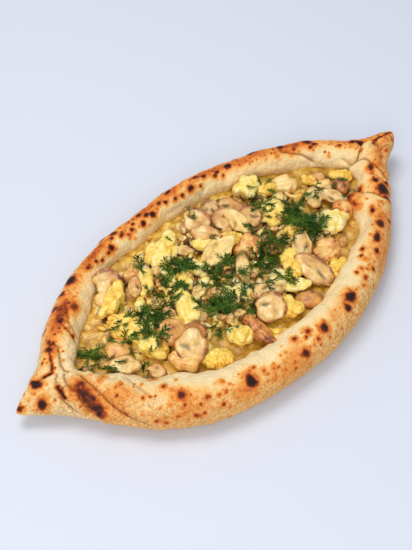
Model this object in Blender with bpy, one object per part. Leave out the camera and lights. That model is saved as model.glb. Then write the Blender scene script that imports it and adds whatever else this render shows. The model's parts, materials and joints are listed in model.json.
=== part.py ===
"""Khachapuri: a boat of baked dough with a rolled rim and two pinched tips, filled with melted
cheese and topped with scrambled egg curds, mushrooms and fried chicken.

The frame: X runs from tip to tip, +Y is the far side, +Z is up. The origin is the middle of the
underside. Lengths are written in millimetres and become metres as each mesh is made.
"""

import math

import bmesh
import bpy
import numpy as np
from mathutils import Matrix, Vector, noise

MM = 0.001
GAP = 0.35  # clearance between pieces that touch

# The boat from above: an oval with a station every 30 degrees, counted from the right tip over the
# far side. A station gives how far the rim stands out from the oval, and half the rim's width.
OVAL_CENTRE = (-7.7, 11.56)
OVAL_HALF = (138.0, 77.5)
STATIONS = (
    (12.5, 9.5),  # right tip
    (12.5, 12.0),
    (-2.0, 11.0),
    (-9.5, 9.5),  # middle of the far side
    (-7.0, 10.0),
    (-8.0, 13.0),
    (0.0, 9.5),  # left tip
    (-1.5, 15.0),
    (9.0, 16.0),
    (9.0, 14.5),  # middle of the near side
    (8.0, 14.0),
    (7.5, 15.0),
)
LENGTH_GROWTH = 1.15  # the rim is this much wider along X than along Y
POINTED = {"left": 0.08, "right": 0.47}  # 0 is a plain ellipse, 1 a pointed eye

# The rim's section: a roll of dough on a flat base.
ROLL_CENTRE = 14.5
ROLL_RISE = 15.5
FLOOR = 6.5  # thickness of the base under the filling
BASE_EDGE = 0.3  # where the flat underside ends, as a share of the rim's half width

# The pinched tips: reach beyond the rim, height of the end, sideways lean, spread round the loop.
TIPS = {
    "right": {"reach": 26.5, "height": 23.5, "lean": 3.0, "spread": 0.19},
    "left": {"reach": 25.5, "height": 13.0, "lean": 4.0, "spread": 0.16},
}
TIP_POWER = 1.4
TIP_THICKNESS = 0.34  # of the rim's own thickness

# Folds pressed into the dough: the places that each runs through, as (angle round the loop, angle
# over the roll) in degrees, then its depth and half width in mm, and the side on which the dough
# stands up beside it: 1 for growing angles, -1 for falling angles, 0 for both. Over the roll, 0 is
# outside, 90 on top and 180 inside.
FOLDS = (
    (((157, 45), (165, 98), (181, 128)), 2.0, 2.6, 0),
    (((149, 70), (156, 105), (167, 160)), 1.6, 2.6, 0),
    (((141, 80), (153, 114), (162, 165)), 1.6, 2.6, 0),
    (((168, 86), (176, 98), (175, 76)), 1.5, 2.2, 0),
    (((178, 108), (186, 92), (197, 0)), 2.4, 3.0, 1),
    (((181, 118), (194, 72), (205, -12)), 2.4, 3.0, 1),
    (((188, 130), (200, 82), (222, -12)), 2.4, 3.0, 1),
    (((210, 118), (222, 70)), 1.1, 2.6, 0),
    (((41, 100), (33, 128), (25, 172)), 2.4, 3.0, -1),
    (((9, 90), (3, 128), (5, 158)), 2.6, 3.0, 0),
    (((14, 140), (5, 156)), 1.4, 2.2, 0),
    (((8, 84), (-6, 84), (-18, 34)), 2.6, 3.2, -1),
    (((0, 136), (-13, 96), (-24, 20)), 2.2, 3.0, -1),
    (((-19, 92), (-27, 34)), 1.3, 2.6, 0),
    (((-22, 150), (-27, 112), (-32, 62)), 2.4, 3.2, -1),
)

# Places where the dough swells or sinks: (angle round, angle over), height, half width in mm.
SWELLS = (
    ((-29, 142), 3.4, 9.0),
    ((-41, 148), -3.0, 10.0),
    ((197, 60), 1.6, 9.0),
    ((212, 62), 1.4, 12.0),
    ((173, 120), 1.2, 8.0),
    ((160, 110), 1.2, 9.0),
    ((46, 118), 1.2, 12.0),
    ((-12, 120), 1.2, 8.0),
)

# The melted cheese: its height at the bread's wall, and how much the middle stands above that.
CHEESE_EDGE = 15.5
CHEESE_CROWN = 4.0

VIEWER = -133.0  # the side, in degrees round Z, towards which leaning pieces turn their faces

AROUND = 88  # columns of the bread's mesh
ROLL_ANGLES = (-50, -24, 2, 24, 44, 62, 80, 98, 116, 134, 154, 180)
CHEESE_RINGS = (0.78, 0.4)

# Mushrooms: kind, place (x, y), height of the middle above the cheese, width across the cap,
# length from the cap's top to the stem's foot, thickness, direction of the cap's top in degrees
# from +X, and lean towards the viewer.
MUSHROOMS = {
    "mushroom_01": ("cap", (-72.0, -11.0), 7.0, 20, 20, 17, 0, 0),
    "mushroom_02": ("half", (-69.5, -29.0), 7.0, 24, 25, 13, -128, 32),
    "mushroom_03": ("slice", (-58.5, -20.5), 5.0, 16, 12, 6, 20, 45),
    "mushroom_04": ("slice", (-74.0, 51.5), 6.5, 23, 19, 6, 25, 50),
    "mushroom_05": ("cap", (-85.0, 43.5), 4.5, 12, 12, 9, 0, 0),
    "mushroom_06": ("half", (-64.0, 35.0), 5.5, 10, 17, 7, 50, 25),
    "mushroom_07": ("cap", (-105.0, 4.5), 4.0, 17, 17, 10, -40, 0),
    "mushroom_08": ("slice", (-110.0, -8.0), 4.0, 13, 22, 6, 135, 18),
    "mushroom_09": ("half", (9.0, 50.5), 6.5, 23, 18, 9, 10, 38),
    "mushroom_10": ("slice", (23.0, 52.5), 6.0, 17, 18, 6, 45, 50),
    "mushroom_11": ("half", (36.0, 44.0), 5.5, 21, 14, 7, 28, 35),
    "mushroom_12": ("half", (23.5, 38.0), 6.0, 17, 20, 7, 120, 32),
    "mushroom_13": ("slice", (28.5, 29.5), 7.0, 13, 25, 6, 92, 30),
    "mushroom_14": ("half", (37.5, 27.0), 6.5, 20, 17, 9, 60, 35),
    "mushroom_15": ("half", (4.0, 34.5), 6.0, 24, 13, 11, 215, 30),
    "mushroom_16": ("half", (-1.0, 18.5), 6.5, 17, 31, 8, 178, 28),
    "mushroom_17": ("slice", (1.5, -4.5), 6.0, 11, 23, 6, 57, 25),
    "mushroom_18": ("cap", (29.5, -2.5), 6.0, 12, 15, 9, -43, 0),
    "mushroom_19": ("half", (-7.5, -40.0), 6.5, 23, 22, 8, 20, 38),
    "mushroom_20": ("slice", (-1.0, -28.5), 6.0, 12, 24, 5, 140, 30),
    "mushroom_21": ("half", (45.0, -19.5), 6.5, 15, 24, 8, -128, 30),
    "mushroom_22": ("slice", (38.5, -37.5), 6.5, 17, 33, 7, 98, 30),
    "mushroom_23": ("cap", (19.0, -52.0), 4.0, 13, 20, 10, 50, 0),
    "mushroom_24": ("cap", (113.0, 5.0), 6.0, 13, 16, 12, -30, 0),
    "mushroom_25": ("slice", (99.5, 2.5), 6.0, 11, 28, 6, 118, 28),
    "mushroom_26": ("half", (88.5, 10.5), 5.0, 14, 17, 7, 60, 25),
    "mushroom_27": ("slice", (107.0, 23.0), 4.5, 12, 12, 5, 90, 40),
}

FLAT_ANGLE = 1.5  # degrees between faces that count as one
CAP_SHARE = 0.64  # of a mushroom's length
DOME_CORNERS = 8
UNDER_CAP = ((-0.42, -0.12), (-0.25, -0.2), (-0.21, -1.0), (0.21, -1.0), (0.25, -0.2), (0.42, -0.12))

# Lumps of egg and chicken: kind, place, height of the middle above the cheese, length, width,
# height, direction of the length in degrees from +X, and bend along it in degrees.
EGG, CHICKEN = "egg", "chicken"
LUMPS = {
    "egg_01": (EGG, (58.5, 50.0), 6.0, 22, 19, 18, 5, 0),
    "egg_02": (EGG, (70.5, 41.0), 4.5, 20, 13, 12, -35, 20),
    "egg_03": (EGG, (56.0, 19.0), 5.0, 26, 23, 13, -20, 10),
    "egg_04": (EGG, (84.5, -16.0), 5.0, 32, 22, 13, -65, -20),
    "egg_05": (EGG, (-26.5, 46.0), 5.5, 33, 19, 15, 28, -20),
    "egg_06": (EGG, (-82.5, 36.5), 6.0, 33, 14, 14, 30, 20),
    "egg_07": (EGG, (-91.5, 16.0), 5.0, 24, 21, 12, -60, 0),
    "egg_08": (EGG, (-88.0, -5.5), 5.5, 31, 18, 14, -70, 25),
    "egg_09": (EGG, (-54.5, 35.0), 4.0, 26, 12, 11, 52, 15),
    "egg_10": (EGG, (-50.0, -1.0), 5.5, 34, 16, 14, 68, -15),
    "egg_11": (EGG, (-62.5, -46.0), 4.5, 22, 17, 13, -30, 0),
    "egg_12": (EGG, (-36.5, -42.5), 4.5, 20, 16, 13, -20, 0),
    "egg_13": (EGG, (30.0, -24.5), 5.0, 28, 15, 13, 60, 20),
    "egg_14": (EGG, (54.0, -44.5), 4.0, 21, 10, 10, 15, 40),
    "egg_15": (EGG, (3.0, -47.0), 4.5, 23, 18, 12, -50, 0),
    "egg_16": (EGG, (14.0, 21.5), 5.0, 18, 13, 12, -10, 0),
    "egg_17": (EGG, (-19.0, -57.0), 2.5, 19, 13, 8, -30, 0),
    "egg_18": (EGG, (15.0, -25.5), 4.5, 18, 13, 11, 40, 0),
    "egg_19": (EGG, (122.0, 14.0), 3.5, 18, 12, 9, -40, 0),
    "egg_20": (EGG, (-34.5, 17.0), 4.5, 24, 12, 11, 55, 15),
    "egg_21": (EGG, (58.0, -3.5), 4.0, 22, 13, 10, -30, 10),
    "egg_22": (EGG, (-20.0, 18.5), 4.0, 20, 16, 10, -40, 0),
    "egg_23": (EGG, (-14.0, -16.0), 4.0, 24, 15, 10, -35, 15),
    "chicken_01": (CHICKEN, (-26.0, -47.5), 6.0, 32, 14, 9, 82, 18),
    "chicken_02": (CHICKEN, (17.5, 7.0), 6.0, 21, 18, 14, 20, 0),
    "chicken_03": (CHICKEN, (58.0, -31.0), 6.0, 22, 20, 14, -20, 0),
    "chicken_04": (CHICKEN, (84.0, 35.5), 5.0, 20, 17, 13, -40, 0),
    "chicken_05": (CHICKEN, (98.0, -11.0), 5.5, 16, 12, 12, -80, 0),
    "chicken_06": (CHICKEN, (-80.5, -32.0), 4.5, 22, 14, 11, -65, 0),
    "chicken_07": (CHICKEN, (-54.5, 46.5), 4.5, 19, 13, 10, 30, 0),
    "chicken_08": (CHICKEN, (104.0, 13.5), 4.5, 15, 12, 11, -30, 0),
}

LOOKS = {  # colour, roughness
    "crust": ((0.72, 0.46, 0.22), 0.75),
    "cheese": ((0.78, 0.62, 0.26), 0.35),
    "mushroom": ((0.66, 0.50, 0.31), 0.50),
    "egg": ((0.90, 0.70, 0.20), 0.40),
    "chicken": ((0.68, 0.38, 0.15), 0.50),
}


def smooth(low, high, x):
    """0 below low, 1 above high, and an even slope between."""
    share = np.clip((x - low) / (high - low), 0, 1)
    return share * share * (3 - 2 * share)


def station(column, t):
    """A column of STATIONS at angles t round the loop, on a smooth curve through them."""
    values = np.array([row[column] for row in STATIONS])
    place = (t / (2 * math.pi) * len(values)) % len(values)
    first = np.floor(place).astype(int)
    f = place - first
    a, b, c, d = (values[(first + k) % len(values)] for k in (-1, 0, 1, 2))
    return b + 0.5 * f * (c - a + f * (2 * a - 5 * b + 4 * c - d + f * (3 * b - a - 3 * c + d)))


def plan(t, offset):
    """The loop seen from above, offset outwards by that many mm from the roll's middle line."""
    c, s = np.cos(t), np.sin(t)
    pointed = POINTED["left"] + (POINTED["right"] - POINTED["left"]) * smooth(-1, 1, c)
    out = station(0, t) + offset
    x = (OVAL_HALF[0] + LENGTH_GROWTH * out) * c
    y = (OVAL_HALF[1] + out) * s * (np.abs(s) + 1e-6) ** pointed
    return x + OVAL_CENTRE[0], y + OVAL_CENTRE[1]


def plain_roll(t, over):
    """The rim without its folds: points for angles t round the loop and over the roll (radians)."""
    c, s = np.cos(t), np.sin(t)
    x, y = plan(t, station(1, t) * np.cos(over))
    rise = ROLL_RISE * np.sin(over)
    right = c > 0
    tip = {k: np.where(right, TIPS["right"][k], TIPS["left"][k]) for k in TIPS["left"]}
    pull = np.exp(-((np.abs(s) / tip["spread"]) ** TIP_POWER)) * smooth(-0.9, 0.9, np.cos(over))
    x = x + np.where(right, 1, -1) * tip["reach"] * pull
    y = y + tip["lean"] * pull
    z = ROLL_CENTRE + (tip["height"] - ROLL_CENTRE) * pull
    z = z + rise * (1 - (1 - TIP_THICKNESS) * pull) + puffs(t) * np.sin(over)
    return np.stack([x, y, np.maximum(z, 0.4)], -1)


def puffs(t):
    """How much the crest rises and sinks along the loop."""
    return 1.0 * np.sin(5 * t + 0.8) + 0.7 * np.sin(9 * t + 2.1)


def relief(points, t, over):
    """How far the folds and swells move each point out of the plain roll."""
    rise = np.zeros(points.shape[:-1])
    for places, deep, wide, side in FOLDS:
        stops = np.linspace(0, 1, len(places))
        along = np.linspace(0, 1, 9 * len(places))
        line_t, line_over = (np.radians(np.interp(along, stops, column)) for column in zip(*places))
        away = np.linalg.norm(points[..., None, :] - plain_roll(line_t, line_over), axis=-1)
        turn = (t - line_t[away.argmin(-1)] + math.pi) % (2 * math.pi) - math.pi
        away = away.min(-1)
        beside = smooth(0, 0.05, turn * side) if side else 0.7
        rise += deep * (0.6 * beside * np.exp(-((away / (3 * wide)) ** 2)) - np.exp(-((away / wide) ** 2)))
    for (turn, turn_over), high, wide in SWELLS:
        centre = plain_roll(np.array(math.radians(turn)), np.array(math.radians(turn_over)))
        rise += high * np.exp(-((np.linalg.norm(points - centre, axis=-1) / wide) ** 2))
    return rise * smooth(-1, -0.8, np.cos(over)) * smooth(-60, -20, np.degrees(over))


def roll(t, over):
    """The rim with its folds pressed in."""
    points = plain_roll(t, over)
    step = 1e-3
    along = plain_roll(t + step, over) - plain_roll(t - step, over)
    across = plain_roll(t, over + step) - plain_roll(t, over - step)
    normal = np.cross(along, across)
    normal /= np.linalg.norm(normal, axis=-1, keepdims=True) + 1e-9
    points = points + normal * relief(points, t, over)[..., None]
    points[..., 2] = np.maximum(points[..., 2], 0.4)
    return points


def loop_angles(count):
    """Angles round the loop, closer together at the two tips."""
    even = np.arange(count) * 2 * math.pi / count
    return even - 0.3 * np.sin(2 * even)


def mesh_object(name, points, faces, look=None):
    """An object from points in mm, with its faces turned out."""
    bm = bmesh.new()
    corners = [bm.verts.new(Vector(p) * MM) for p in points]
    for face in faces:
        bm.faces.new([corners[k] for k in face])
    bmesh.ops.triangulate(bm, faces=bm.faces, quad_method="FIXED")
    bmesh.ops.recalc_face_normals(bm, faces=bm.faces)
    mesh = bpy.data.meshes.new(name)
    bm.to_mesh(mesh)
    bm.free()
    obj = bpy.data.objects.new(name, mesh)
    bpy.context.scene.collection.objects.link(obj)
    if look:
        mesh.materials.append(material(look))
    return obj


def material(look):
    """The plain material of one kind of piece."""
    found = bpy.data.materials.get(look)
    if found:
        return found
    colour, roughness = LOOKS[look]
    made = bpy.data.materials.new(look)
    made.use_nodes = True
    shader = made.node_tree.nodes["Principled BSDF"]
    shader.inputs["Base Color"].default_value = (*colour, 1)
    shader.inputs["Roughness"].default_value = roughness
    made.diffuse_color = (*colour, 1)
    return made


def rings_mesh(name, rings, look=None):
    """A closed body from rings of equal length, with a flat face on the first and the last."""
    count = len(rings[0])
    faces = [
        (r * count + k, r * count + (k + 1) % count, (r + 1) * count + (k + 1) % count, (r + 1) * count + k)
        for r in range(len(rings) - 1)
        for k in range(count)
    ]
    last = (len(rings) - 1) * count
    faces += [range(count), range(last, last + count)]
    return mesh_object(name, np.concatenate(rings), faces, look)


def at_height(x, y, z):
    return np.stack([x, y, np.broadcast_to(z, x.shape)], -1)


def make_bread(name="bread", look="crust", grow=0.0):
    """The boat: flat underside, outside of the roll, its crest, its inner wall, and the floor."""
    t = loop_angles(AROUND)
    half = station(1, t)
    rings = [at_height(*plan(t, BASE_EDGE * half), 0.0)]
    rings += [roll(t, np.full_like(t, math.radians(over))) for over in ROLL_ANGLES]
    rings += [at_height(*plan(t, -half), FLOOR)]
    return grown(rings_mesh(name, rings, look), grow)


def cheese_height(x, y):
    """Height of the cheese's surface at a place in the hollow."""
    out = ((x - OVAL_CENTRE[0]) / 125) ** 2 + ((y - OVAL_CENTRE[1]) / 66) ** 2
    return CHEESE_EDGE + CHEESE_CROWN * smooth(0, 1, 1 - out)


def make_cheese(name="cheese", look="cheese", grow=0.0):
    """The melted cheese that fills the hollow, clear of the bread all round."""
    t = loop_angles(AROUND)
    x, y = plan(t, -station(1, t) - GAP)
    rings = [at_height(x, y, FLOOR + GAP), at_height(x, y, CHEESE_EDGE)]
    for share in CHEESE_RINGS:
        ring_x, ring_y = (centre + (edge - centre) * share for centre, edge in zip(OVAL_CENTRE, (x, y)))
        rings.append(at_height(ring_x, ring_y, cheese_height(ring_x, ring_y)))
    return grown(rings_mesh(name, rings, look), grow)


def mushroom_outline(width, length):
    """A champignon cut lengthwise: a domed cap over a short stout stem."""
    cap = CAP_SHARE * length
    dome = [(math.cos(a) * width / 2, math.sin(a) * cap) for a in np.linspace(0, math.pi, DOME_CORNERS)]
    stem = length - cap
    outline = dome + [(x * width, y * stem) for x, y in UNDER_CAP]
    return [(x, y - (cap - stem) / 2) for x, y in outline]


def mushroom_points(kind, width, length, thick):
    """Points and faces of a mushroom piece about its own middle, its cut face towards +Z."""
    if kind == "cap":
        return blob_points(length, width, thick, 0, 0.95, 0.06, width)
    outline = mushroom_outline(width, length)
    back = 0.94 if kind == "slice" else 0.62
    count = len(outline)
    points = [(x, y, thick / 2) for x, y in outline] + [(x * back, y * back, -thick / 2) for x, y in outline]
    faces = [(k, (k + 1) % count, count + (k + 1) % count, count + k) for k in range(count)]
    return points, faces + [range(count), range(count, 2 * count)]


def blob_points(length, width, height, bend, square, rough, seed, segments=8, rings=5):
    """Points and faces of a lump along X: below 1, square makes it boxy; rough makes it lumpy."""
    def power(value):
        return math.copysign(abs(value) ** square, value)

    def place(u, v):
        p = Vector((length / 2 * power(math.cos(u)),
                    width / 2 * power(math.sin(u)) * power(math.cos(v)),
                    height / 2 * power(math.sin(u)) * power(math.sin(v))))
        p *= 1 + rough * noise.noise(p / (0.3 * height + 0.2 * length) + Vector((seed * 7.3, seed * 3.1, 0)))
        turn = math.radians(bend) * p.x / length
        return (p.x * math.cos(turn / 2) - p.y * math.sin(turn), p.y + p.x * math.sin(turn / 2), p.z)

    points = [place(0, 0)]
    for ring in range(1, rings):
        points += [place(math.pi * ring / rings, 2 * math.pi * k / segments) for k in range(segments)]
    points.append(place(math.pi, 0))
    faces = [(0, 1 + k, 1 + (k + 1) % segments) for k in range(segments)]
    for ring in range(rings - 2):
        a, b = 1 + ring * segments, 1 + (ring + 1) * segments
        faces += [(a + k, b + k, b + (k + 1) % segments, a + (k + 1) % segments) for k in range(segments)]
    last = len(points) - 1
    faces += [(last, last - segments + (k + 1) % segments, last - segments + k) for k in range(segments)]
    return points, faces


def placed(place, lift, spin, lean):
    """Where a piece lies: spun in its own plane, leaning towards the viewer, lifted off the cheese."""
    x, y = place
    axis = Matrix.Rotation(math.radians(VIEWER + 90), 3, "Z") @ Vector((1, 0, 0))
    turned = Matrix.Rotation(math.radians(lean), 4, axis) @ Matrix.Rotation(math.radians(spin), 4, "Z")
    height = float(cheese_height(np.array(x), np.array(y))) + lift
    return Matrix.Translation(Vector((x, y, height)) * MM) @ turned


def grown(obj, by):
    """The same shape, larger by that many mm all over."""
    if by:
        bm = bmesh.new()
        bm.from_mesh(obj.data)
        bm.normal_update()
        moves = [v.normal * v.calc_shell_factor() * by * MM for v in bm.verts]
        for vert, move in zip(bm.verts, moves):
            vert.co += move
        bm.to_mesh(obj.data)
        bm.free()
    return obj


def topping(name, points, faces, look, matrix, grow=0.0):
    obj = grown(mesh_object(name, points, faces, look), grow)
    obj.data.transform(matrix)
    return obj


def as_cutter(obj):
    """Marks a helper that only cuts others and is no part of the food."""
    obj.hide_render = True
    obj.display_type = "WIRE"
    return obj


def box_of(obj):
    points = np.array([v.co for v in obj.data.vertices])
    return points.min(0), points.max(0)


def meet(a, b):
    (low_a, high_a), (low_b, high_b) = a, b
    return bool(np.all(low_a < high_b) and np.all(low_b < high_a))


def cut(obj, cutter):
    step = obj.modifiers.new(cutter.name, "BOOLEAN")
    step.operation = "DIFFERENCE"
    step.object = cutter


def join_flat_faces(obj):
    """Joins the faces that the cuts left lying in one plane."""
    step = obj.modifiers.new("flat", "DECIMATE")
    step.decimate_type = "DISSOLVE"
    step.angle_limit = math.radians(FLAT_ANGLE)


def topping_shapes():
    """Name, look, points, faces and matrix of every topping, the ones on top first."""
    for name, (kind, place, lift, width, length, thick, heading, lean) in MUSHROOMS.items():
        shape = mushroom_points(kind, width, length, thick)
        yield name, "mushroom", *shape, placed(place, lift, heading - 90, lean)
    for order, (name, lump) in enumerate(LUMPS.items()):
        look, place, lift, length, width, height, spin, bend = lump
        square, rough = (0.62, 0.18) if look == CHICKEN else (0.9, 0.45)
        shape = blob_points(length, width, height, bend, square, rough, order)
        yield name, look, *shape, placed(place, lift, spin, 0)


def make_toppings(bread_cutter, cheese_cutter):
    """Every topping, each hollowed where the bread, the cheese or a topping above it lies."""
    above = []
    for name, look, points, faces, matrix in topping_shapes():
        obj = topping(name, points, faces, look, matrix)
        cut(obj, cheese_cutter)
        cut(obj, bread_cutter)
        for cutter in above:
            if meet(box_of(obj), box_of(cutter)):
                cut(obj, cutter)
        join_flat_faces(obj)
        above.append(as_cutter(topping("clear_of_" + name, points, faces, None, matrix, GAP)))


def main():
    for obj in list(bpy.data.objects):
        bpy.data.objects.remove(obj)
    make_bread()
    make_cheese()
    bread_cutter = as_cutter(make_bread("clear_of_bread", None, GAP))
    cheese_cutter = as_cutter(make_cheese("clear_of_cheese", None, GAP))
    make_toppings(bread_cutter, cheese_cutter)


main()
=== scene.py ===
"""Looks of the khachapuri: crust, melted cheese, egg, mushrooms, chicken and chopped dill, on a pale
floor in soft studio light. Lengths are in millimetres until a mesh is made.
"""

import itertools
import json
import math

import bpy
import numpy as np
from mathutils import Matrix, Vector

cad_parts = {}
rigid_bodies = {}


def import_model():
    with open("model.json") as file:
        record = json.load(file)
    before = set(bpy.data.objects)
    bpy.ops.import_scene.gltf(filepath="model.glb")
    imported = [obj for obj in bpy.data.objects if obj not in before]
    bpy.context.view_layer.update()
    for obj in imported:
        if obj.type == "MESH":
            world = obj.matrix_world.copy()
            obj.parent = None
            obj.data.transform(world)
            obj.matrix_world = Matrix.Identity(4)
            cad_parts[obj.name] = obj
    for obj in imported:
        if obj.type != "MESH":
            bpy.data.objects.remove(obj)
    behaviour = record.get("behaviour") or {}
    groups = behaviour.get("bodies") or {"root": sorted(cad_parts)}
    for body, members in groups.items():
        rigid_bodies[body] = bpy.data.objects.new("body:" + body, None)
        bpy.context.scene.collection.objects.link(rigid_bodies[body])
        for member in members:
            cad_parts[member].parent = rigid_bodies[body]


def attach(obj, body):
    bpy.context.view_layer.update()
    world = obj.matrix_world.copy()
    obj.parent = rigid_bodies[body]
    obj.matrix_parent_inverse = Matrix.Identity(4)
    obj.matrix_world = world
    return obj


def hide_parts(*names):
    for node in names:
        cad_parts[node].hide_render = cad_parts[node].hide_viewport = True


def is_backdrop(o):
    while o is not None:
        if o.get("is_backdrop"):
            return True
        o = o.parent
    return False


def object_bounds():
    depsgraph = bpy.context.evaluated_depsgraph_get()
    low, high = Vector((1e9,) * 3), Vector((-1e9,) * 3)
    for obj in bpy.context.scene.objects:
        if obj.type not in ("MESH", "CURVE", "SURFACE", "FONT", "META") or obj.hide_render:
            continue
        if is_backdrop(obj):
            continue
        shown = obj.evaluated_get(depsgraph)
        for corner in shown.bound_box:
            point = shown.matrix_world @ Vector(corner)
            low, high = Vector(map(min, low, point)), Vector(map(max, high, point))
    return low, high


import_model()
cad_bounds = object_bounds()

MM = 0.001
FULL_TURN = 2 * math.pi

# ---------------------------------------------------------------- the boat's shape, as in the solids

OVAL_CENTRE = (-7.7, 11.56)
OVAL_HALF = (138.0, 77.5)
STATIONS = (  # stand-off from the oval and half the rim's width, every 30 degrees from the right tip
    (12.5, 9.5), (12.5, 12.0), (-2.0, 11.0), (-9.5, 9.5), (-7.0, 10.0), (-8.0, 13.0),
    (0.0, 9.5), (-1.5, 15.0), (9.0, 16.0), (9.0, 14.5), (8.0, 14.0), (7.5, 15.0),
)
LENGTH_GROWTH = 1.15  # how much faster the loop grows lengthwise than across
POINTED = {"left": 0.08, "right": 0.47}  # how sharply the oval runs out to each tip
ROLL_CENTRE = 14.5  # height of the rim's middle line
ROLL_RISE = 15.5  # of the crest above it
FLOOR = 6.5
BASE_EDGE = 0.3  # of half the rim's width, where the flat underside ends
LOWEST = 0.4  # height of the crust's outer skin at least, just above the underside
TIPS = {
    "right": {"reach": 26.5, "height": 23.5, "lean": 3.0, "spread": 0.19, "blunt": 0.04, "fat": 5.0},
    "left": {"reach": 25.5, "height": 13.0, "lean": 4.0, "spread": 0.16, "blunt": 0.035, "fat": 1.5},
}
TIP_POWER = 1.4  # how suddenly the rim runs out into a tip
TIP_THICKNESS = 0.34  # of a tip, as a share of the rim's

# Folds: places as (angle round, angle over), depth, half width, the side that stands up. The angle
# over the roll runs from outside at 0 over the crest at 90 to the inner wall at 180.
FOLDS = (
    (((157, 45), (165, 98), (181, 128)), 2.0, 2.6, 0),
    (((149, 70), (156, 105), (167, 160)), 1.6, 2.6, 0),
    (((141, 80), (153, 114), (162, 165)), 1.6, 2.6, 0),
    (((168, 86), (176, 98), (175, 76)), 1.5, 2.2, 0),
    (((178, 108), (186, 92), (197, 0)), 2.4, 3.0, 1),
    (((181, 118), (194, 72), (205, -12)), 2.4, 3.0, 1),
    (((188, 130), (200, 82), (222, -12)), 2.4, 3.0, 1),
    (((210, 118), (222, 70)), 1.1, 2.6, 0),
    (((41, 100), (33, 128), (25, 172)), 2.4, 3.0, -1),
    (((9, 90), (3, 128), (5, 158)), 2.6, 3.0, 0),
    (((14, 140), (5, 156)), 1.4, 2.2, 0),
    (((9, 88), (-5, 82), (-17, 30)), 4.4, 3.4, -1),
    (((0, 136), (-13, 96), (-24, 20)), 2.2, 3.0, -1),
    (((-19, 92), (-27, 34)), 1.3, 2.6, 0),
    (((-22, 150), (-27, 112), (-32, 62)), 2.4, 3.2, -1),
)
SWELLS = (  # (angle round, angle over), height, half width
    ((-29, 142), 4.0, 8.0),
    ((-42, 140), -2.0, 10.0),
    ((-3, 100), 3.6, 9.0),
    ((197, 60), 1.6, 9.0),
    ((212, 62), 1.4, 12.0),
    ((173, 120), 1.2, 8.0),
    ((160, 110), 1.2, 9.0),
    ((46, 118), 1.2, 12.0),
    ((-12, 120), 1.2, 8.0),
)
HOLLOW_HALF = (125, 66)  # half the length and width of the oval that the filling lies in
CHEESE_EDGE = 15.5  # height of the cheese at the wall, and how much higher it is in the middle
CHEESE_CROWN = 4.0
VIEWER = -133.0  # the heading towards the viewer, on the floor

# Mushrooms, in the order of their nodes: kind, place, lift above the cheese, width, length, thickness,
# heading of the cap's top, lean, how browned it is, and how much egg clings to it.
MUSHROOMS = (
    ("cap", (-72.0, -11.0), 7.0, 20, 20, 17, 0, 0, 0.45, 0.0),
    ("half", (-69.5, -29.0), 7.0, 22, 25, 13, -128, 32, 0.10, 0.0),
    ("slice", (-58.5, -20.5), 5.0, 16, 12, 6, 20, 45, 0.60, 0.0),
    ("slice", (-74.0, 51.5), 6.5, 23, 19, 6, 25, 50, 0.15, 0.0),
    ("cap", (-85.0, 43.5), 4.5, 12, 12, 9, 0, 0, 0.05, 0.2),
    ("half", (-64.0, 35.0), 5.5, 10, 17, 7, 50, 25, 0.45, 0.0),
    ("cap", (-105.0, 4.5), 4.0, 17, 17, 10, -40, 0, 0.40, 0.0),
    ("slice", (-110.0, -8.0), 4.0, 13, 22, 6, 135, 18, 0.20, 0.3),
    ("half", (9.0, 50.5), 6.5, 23, 18, 9, 10, 38, 0.25, 0.0),
    ("slice", (23.0, 52.5), 6.0, 17, 18, 6, 45, 50, 0.05, 0.0),
    ("half", (36.0, 44.0), 5.5, 21, 14, 7, 28, 35, 0.50, 0.0),
    ("half", (23.5, 38.0), 6.0, 17, 20, 7, 120, 32, 0.20, 0.0),
    ("slice", (28.5, 29.5), 7.0, 13, 25, 6, 92, 30, 0.10, 0.7),
    ("half", (37.5, 27.0), 6.5, 20, 17, 9, 60, 35, 0.40, 0.0),
    ("half", (4.0, 34.5), 6.0, 24, 13, 11, 215, 30, 0.35, 0.0),
    ("half", (-1.0, 18.5), 6.5, 17, 31, 8, 178, 28, 0.10, 0.8),
    ("slice", (1.5, -4.5), 6.0, 11, 23, 6, 57, 25, 0.05, 0.3),
    ("cap", (29.5, -2.5), 6.0, 12, 15, 9, -43, 0, 0.65, 0.0),
    ("half", (-7.5, -40.0), 6.5, 23, 22, 8, 20, 38, 0.30, 0.0),
    ("slice", (-1.0, -28.5), 6.0, 12, 24, 5, 140, 30, 0.15, 0.2),
    ("half", (45.0, -19.5), 6.5, 15, 24, 8, -128, 30, 0.15, 0.0),
    ("half", (38.5, -37.5), 6.5, 33, 17, 7, 8, 30, 0.25, 0.0),
    ("cap", (19.0, -52.0), 4.0, 13, 20, 10, 50, 0, 0.60, 0.0),
    ("cap", (113.0, 5.0), 6.0, 13, 16, 12, -30, 0, 0.75, 0.0),
    ("slice", (99.5, 2.5), 6.0, 11, 28, 6, 118, 28, 0.10, 0.0),
    ("half", (88.5, 10.5), 5.0, 14, 17, 7, 60, 25, 0.10, 0.3),
    ("slice", (107.0, 23.0), 4.5, 12, 12, 5, 90, 40, 0.45, 0.0),
)

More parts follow.
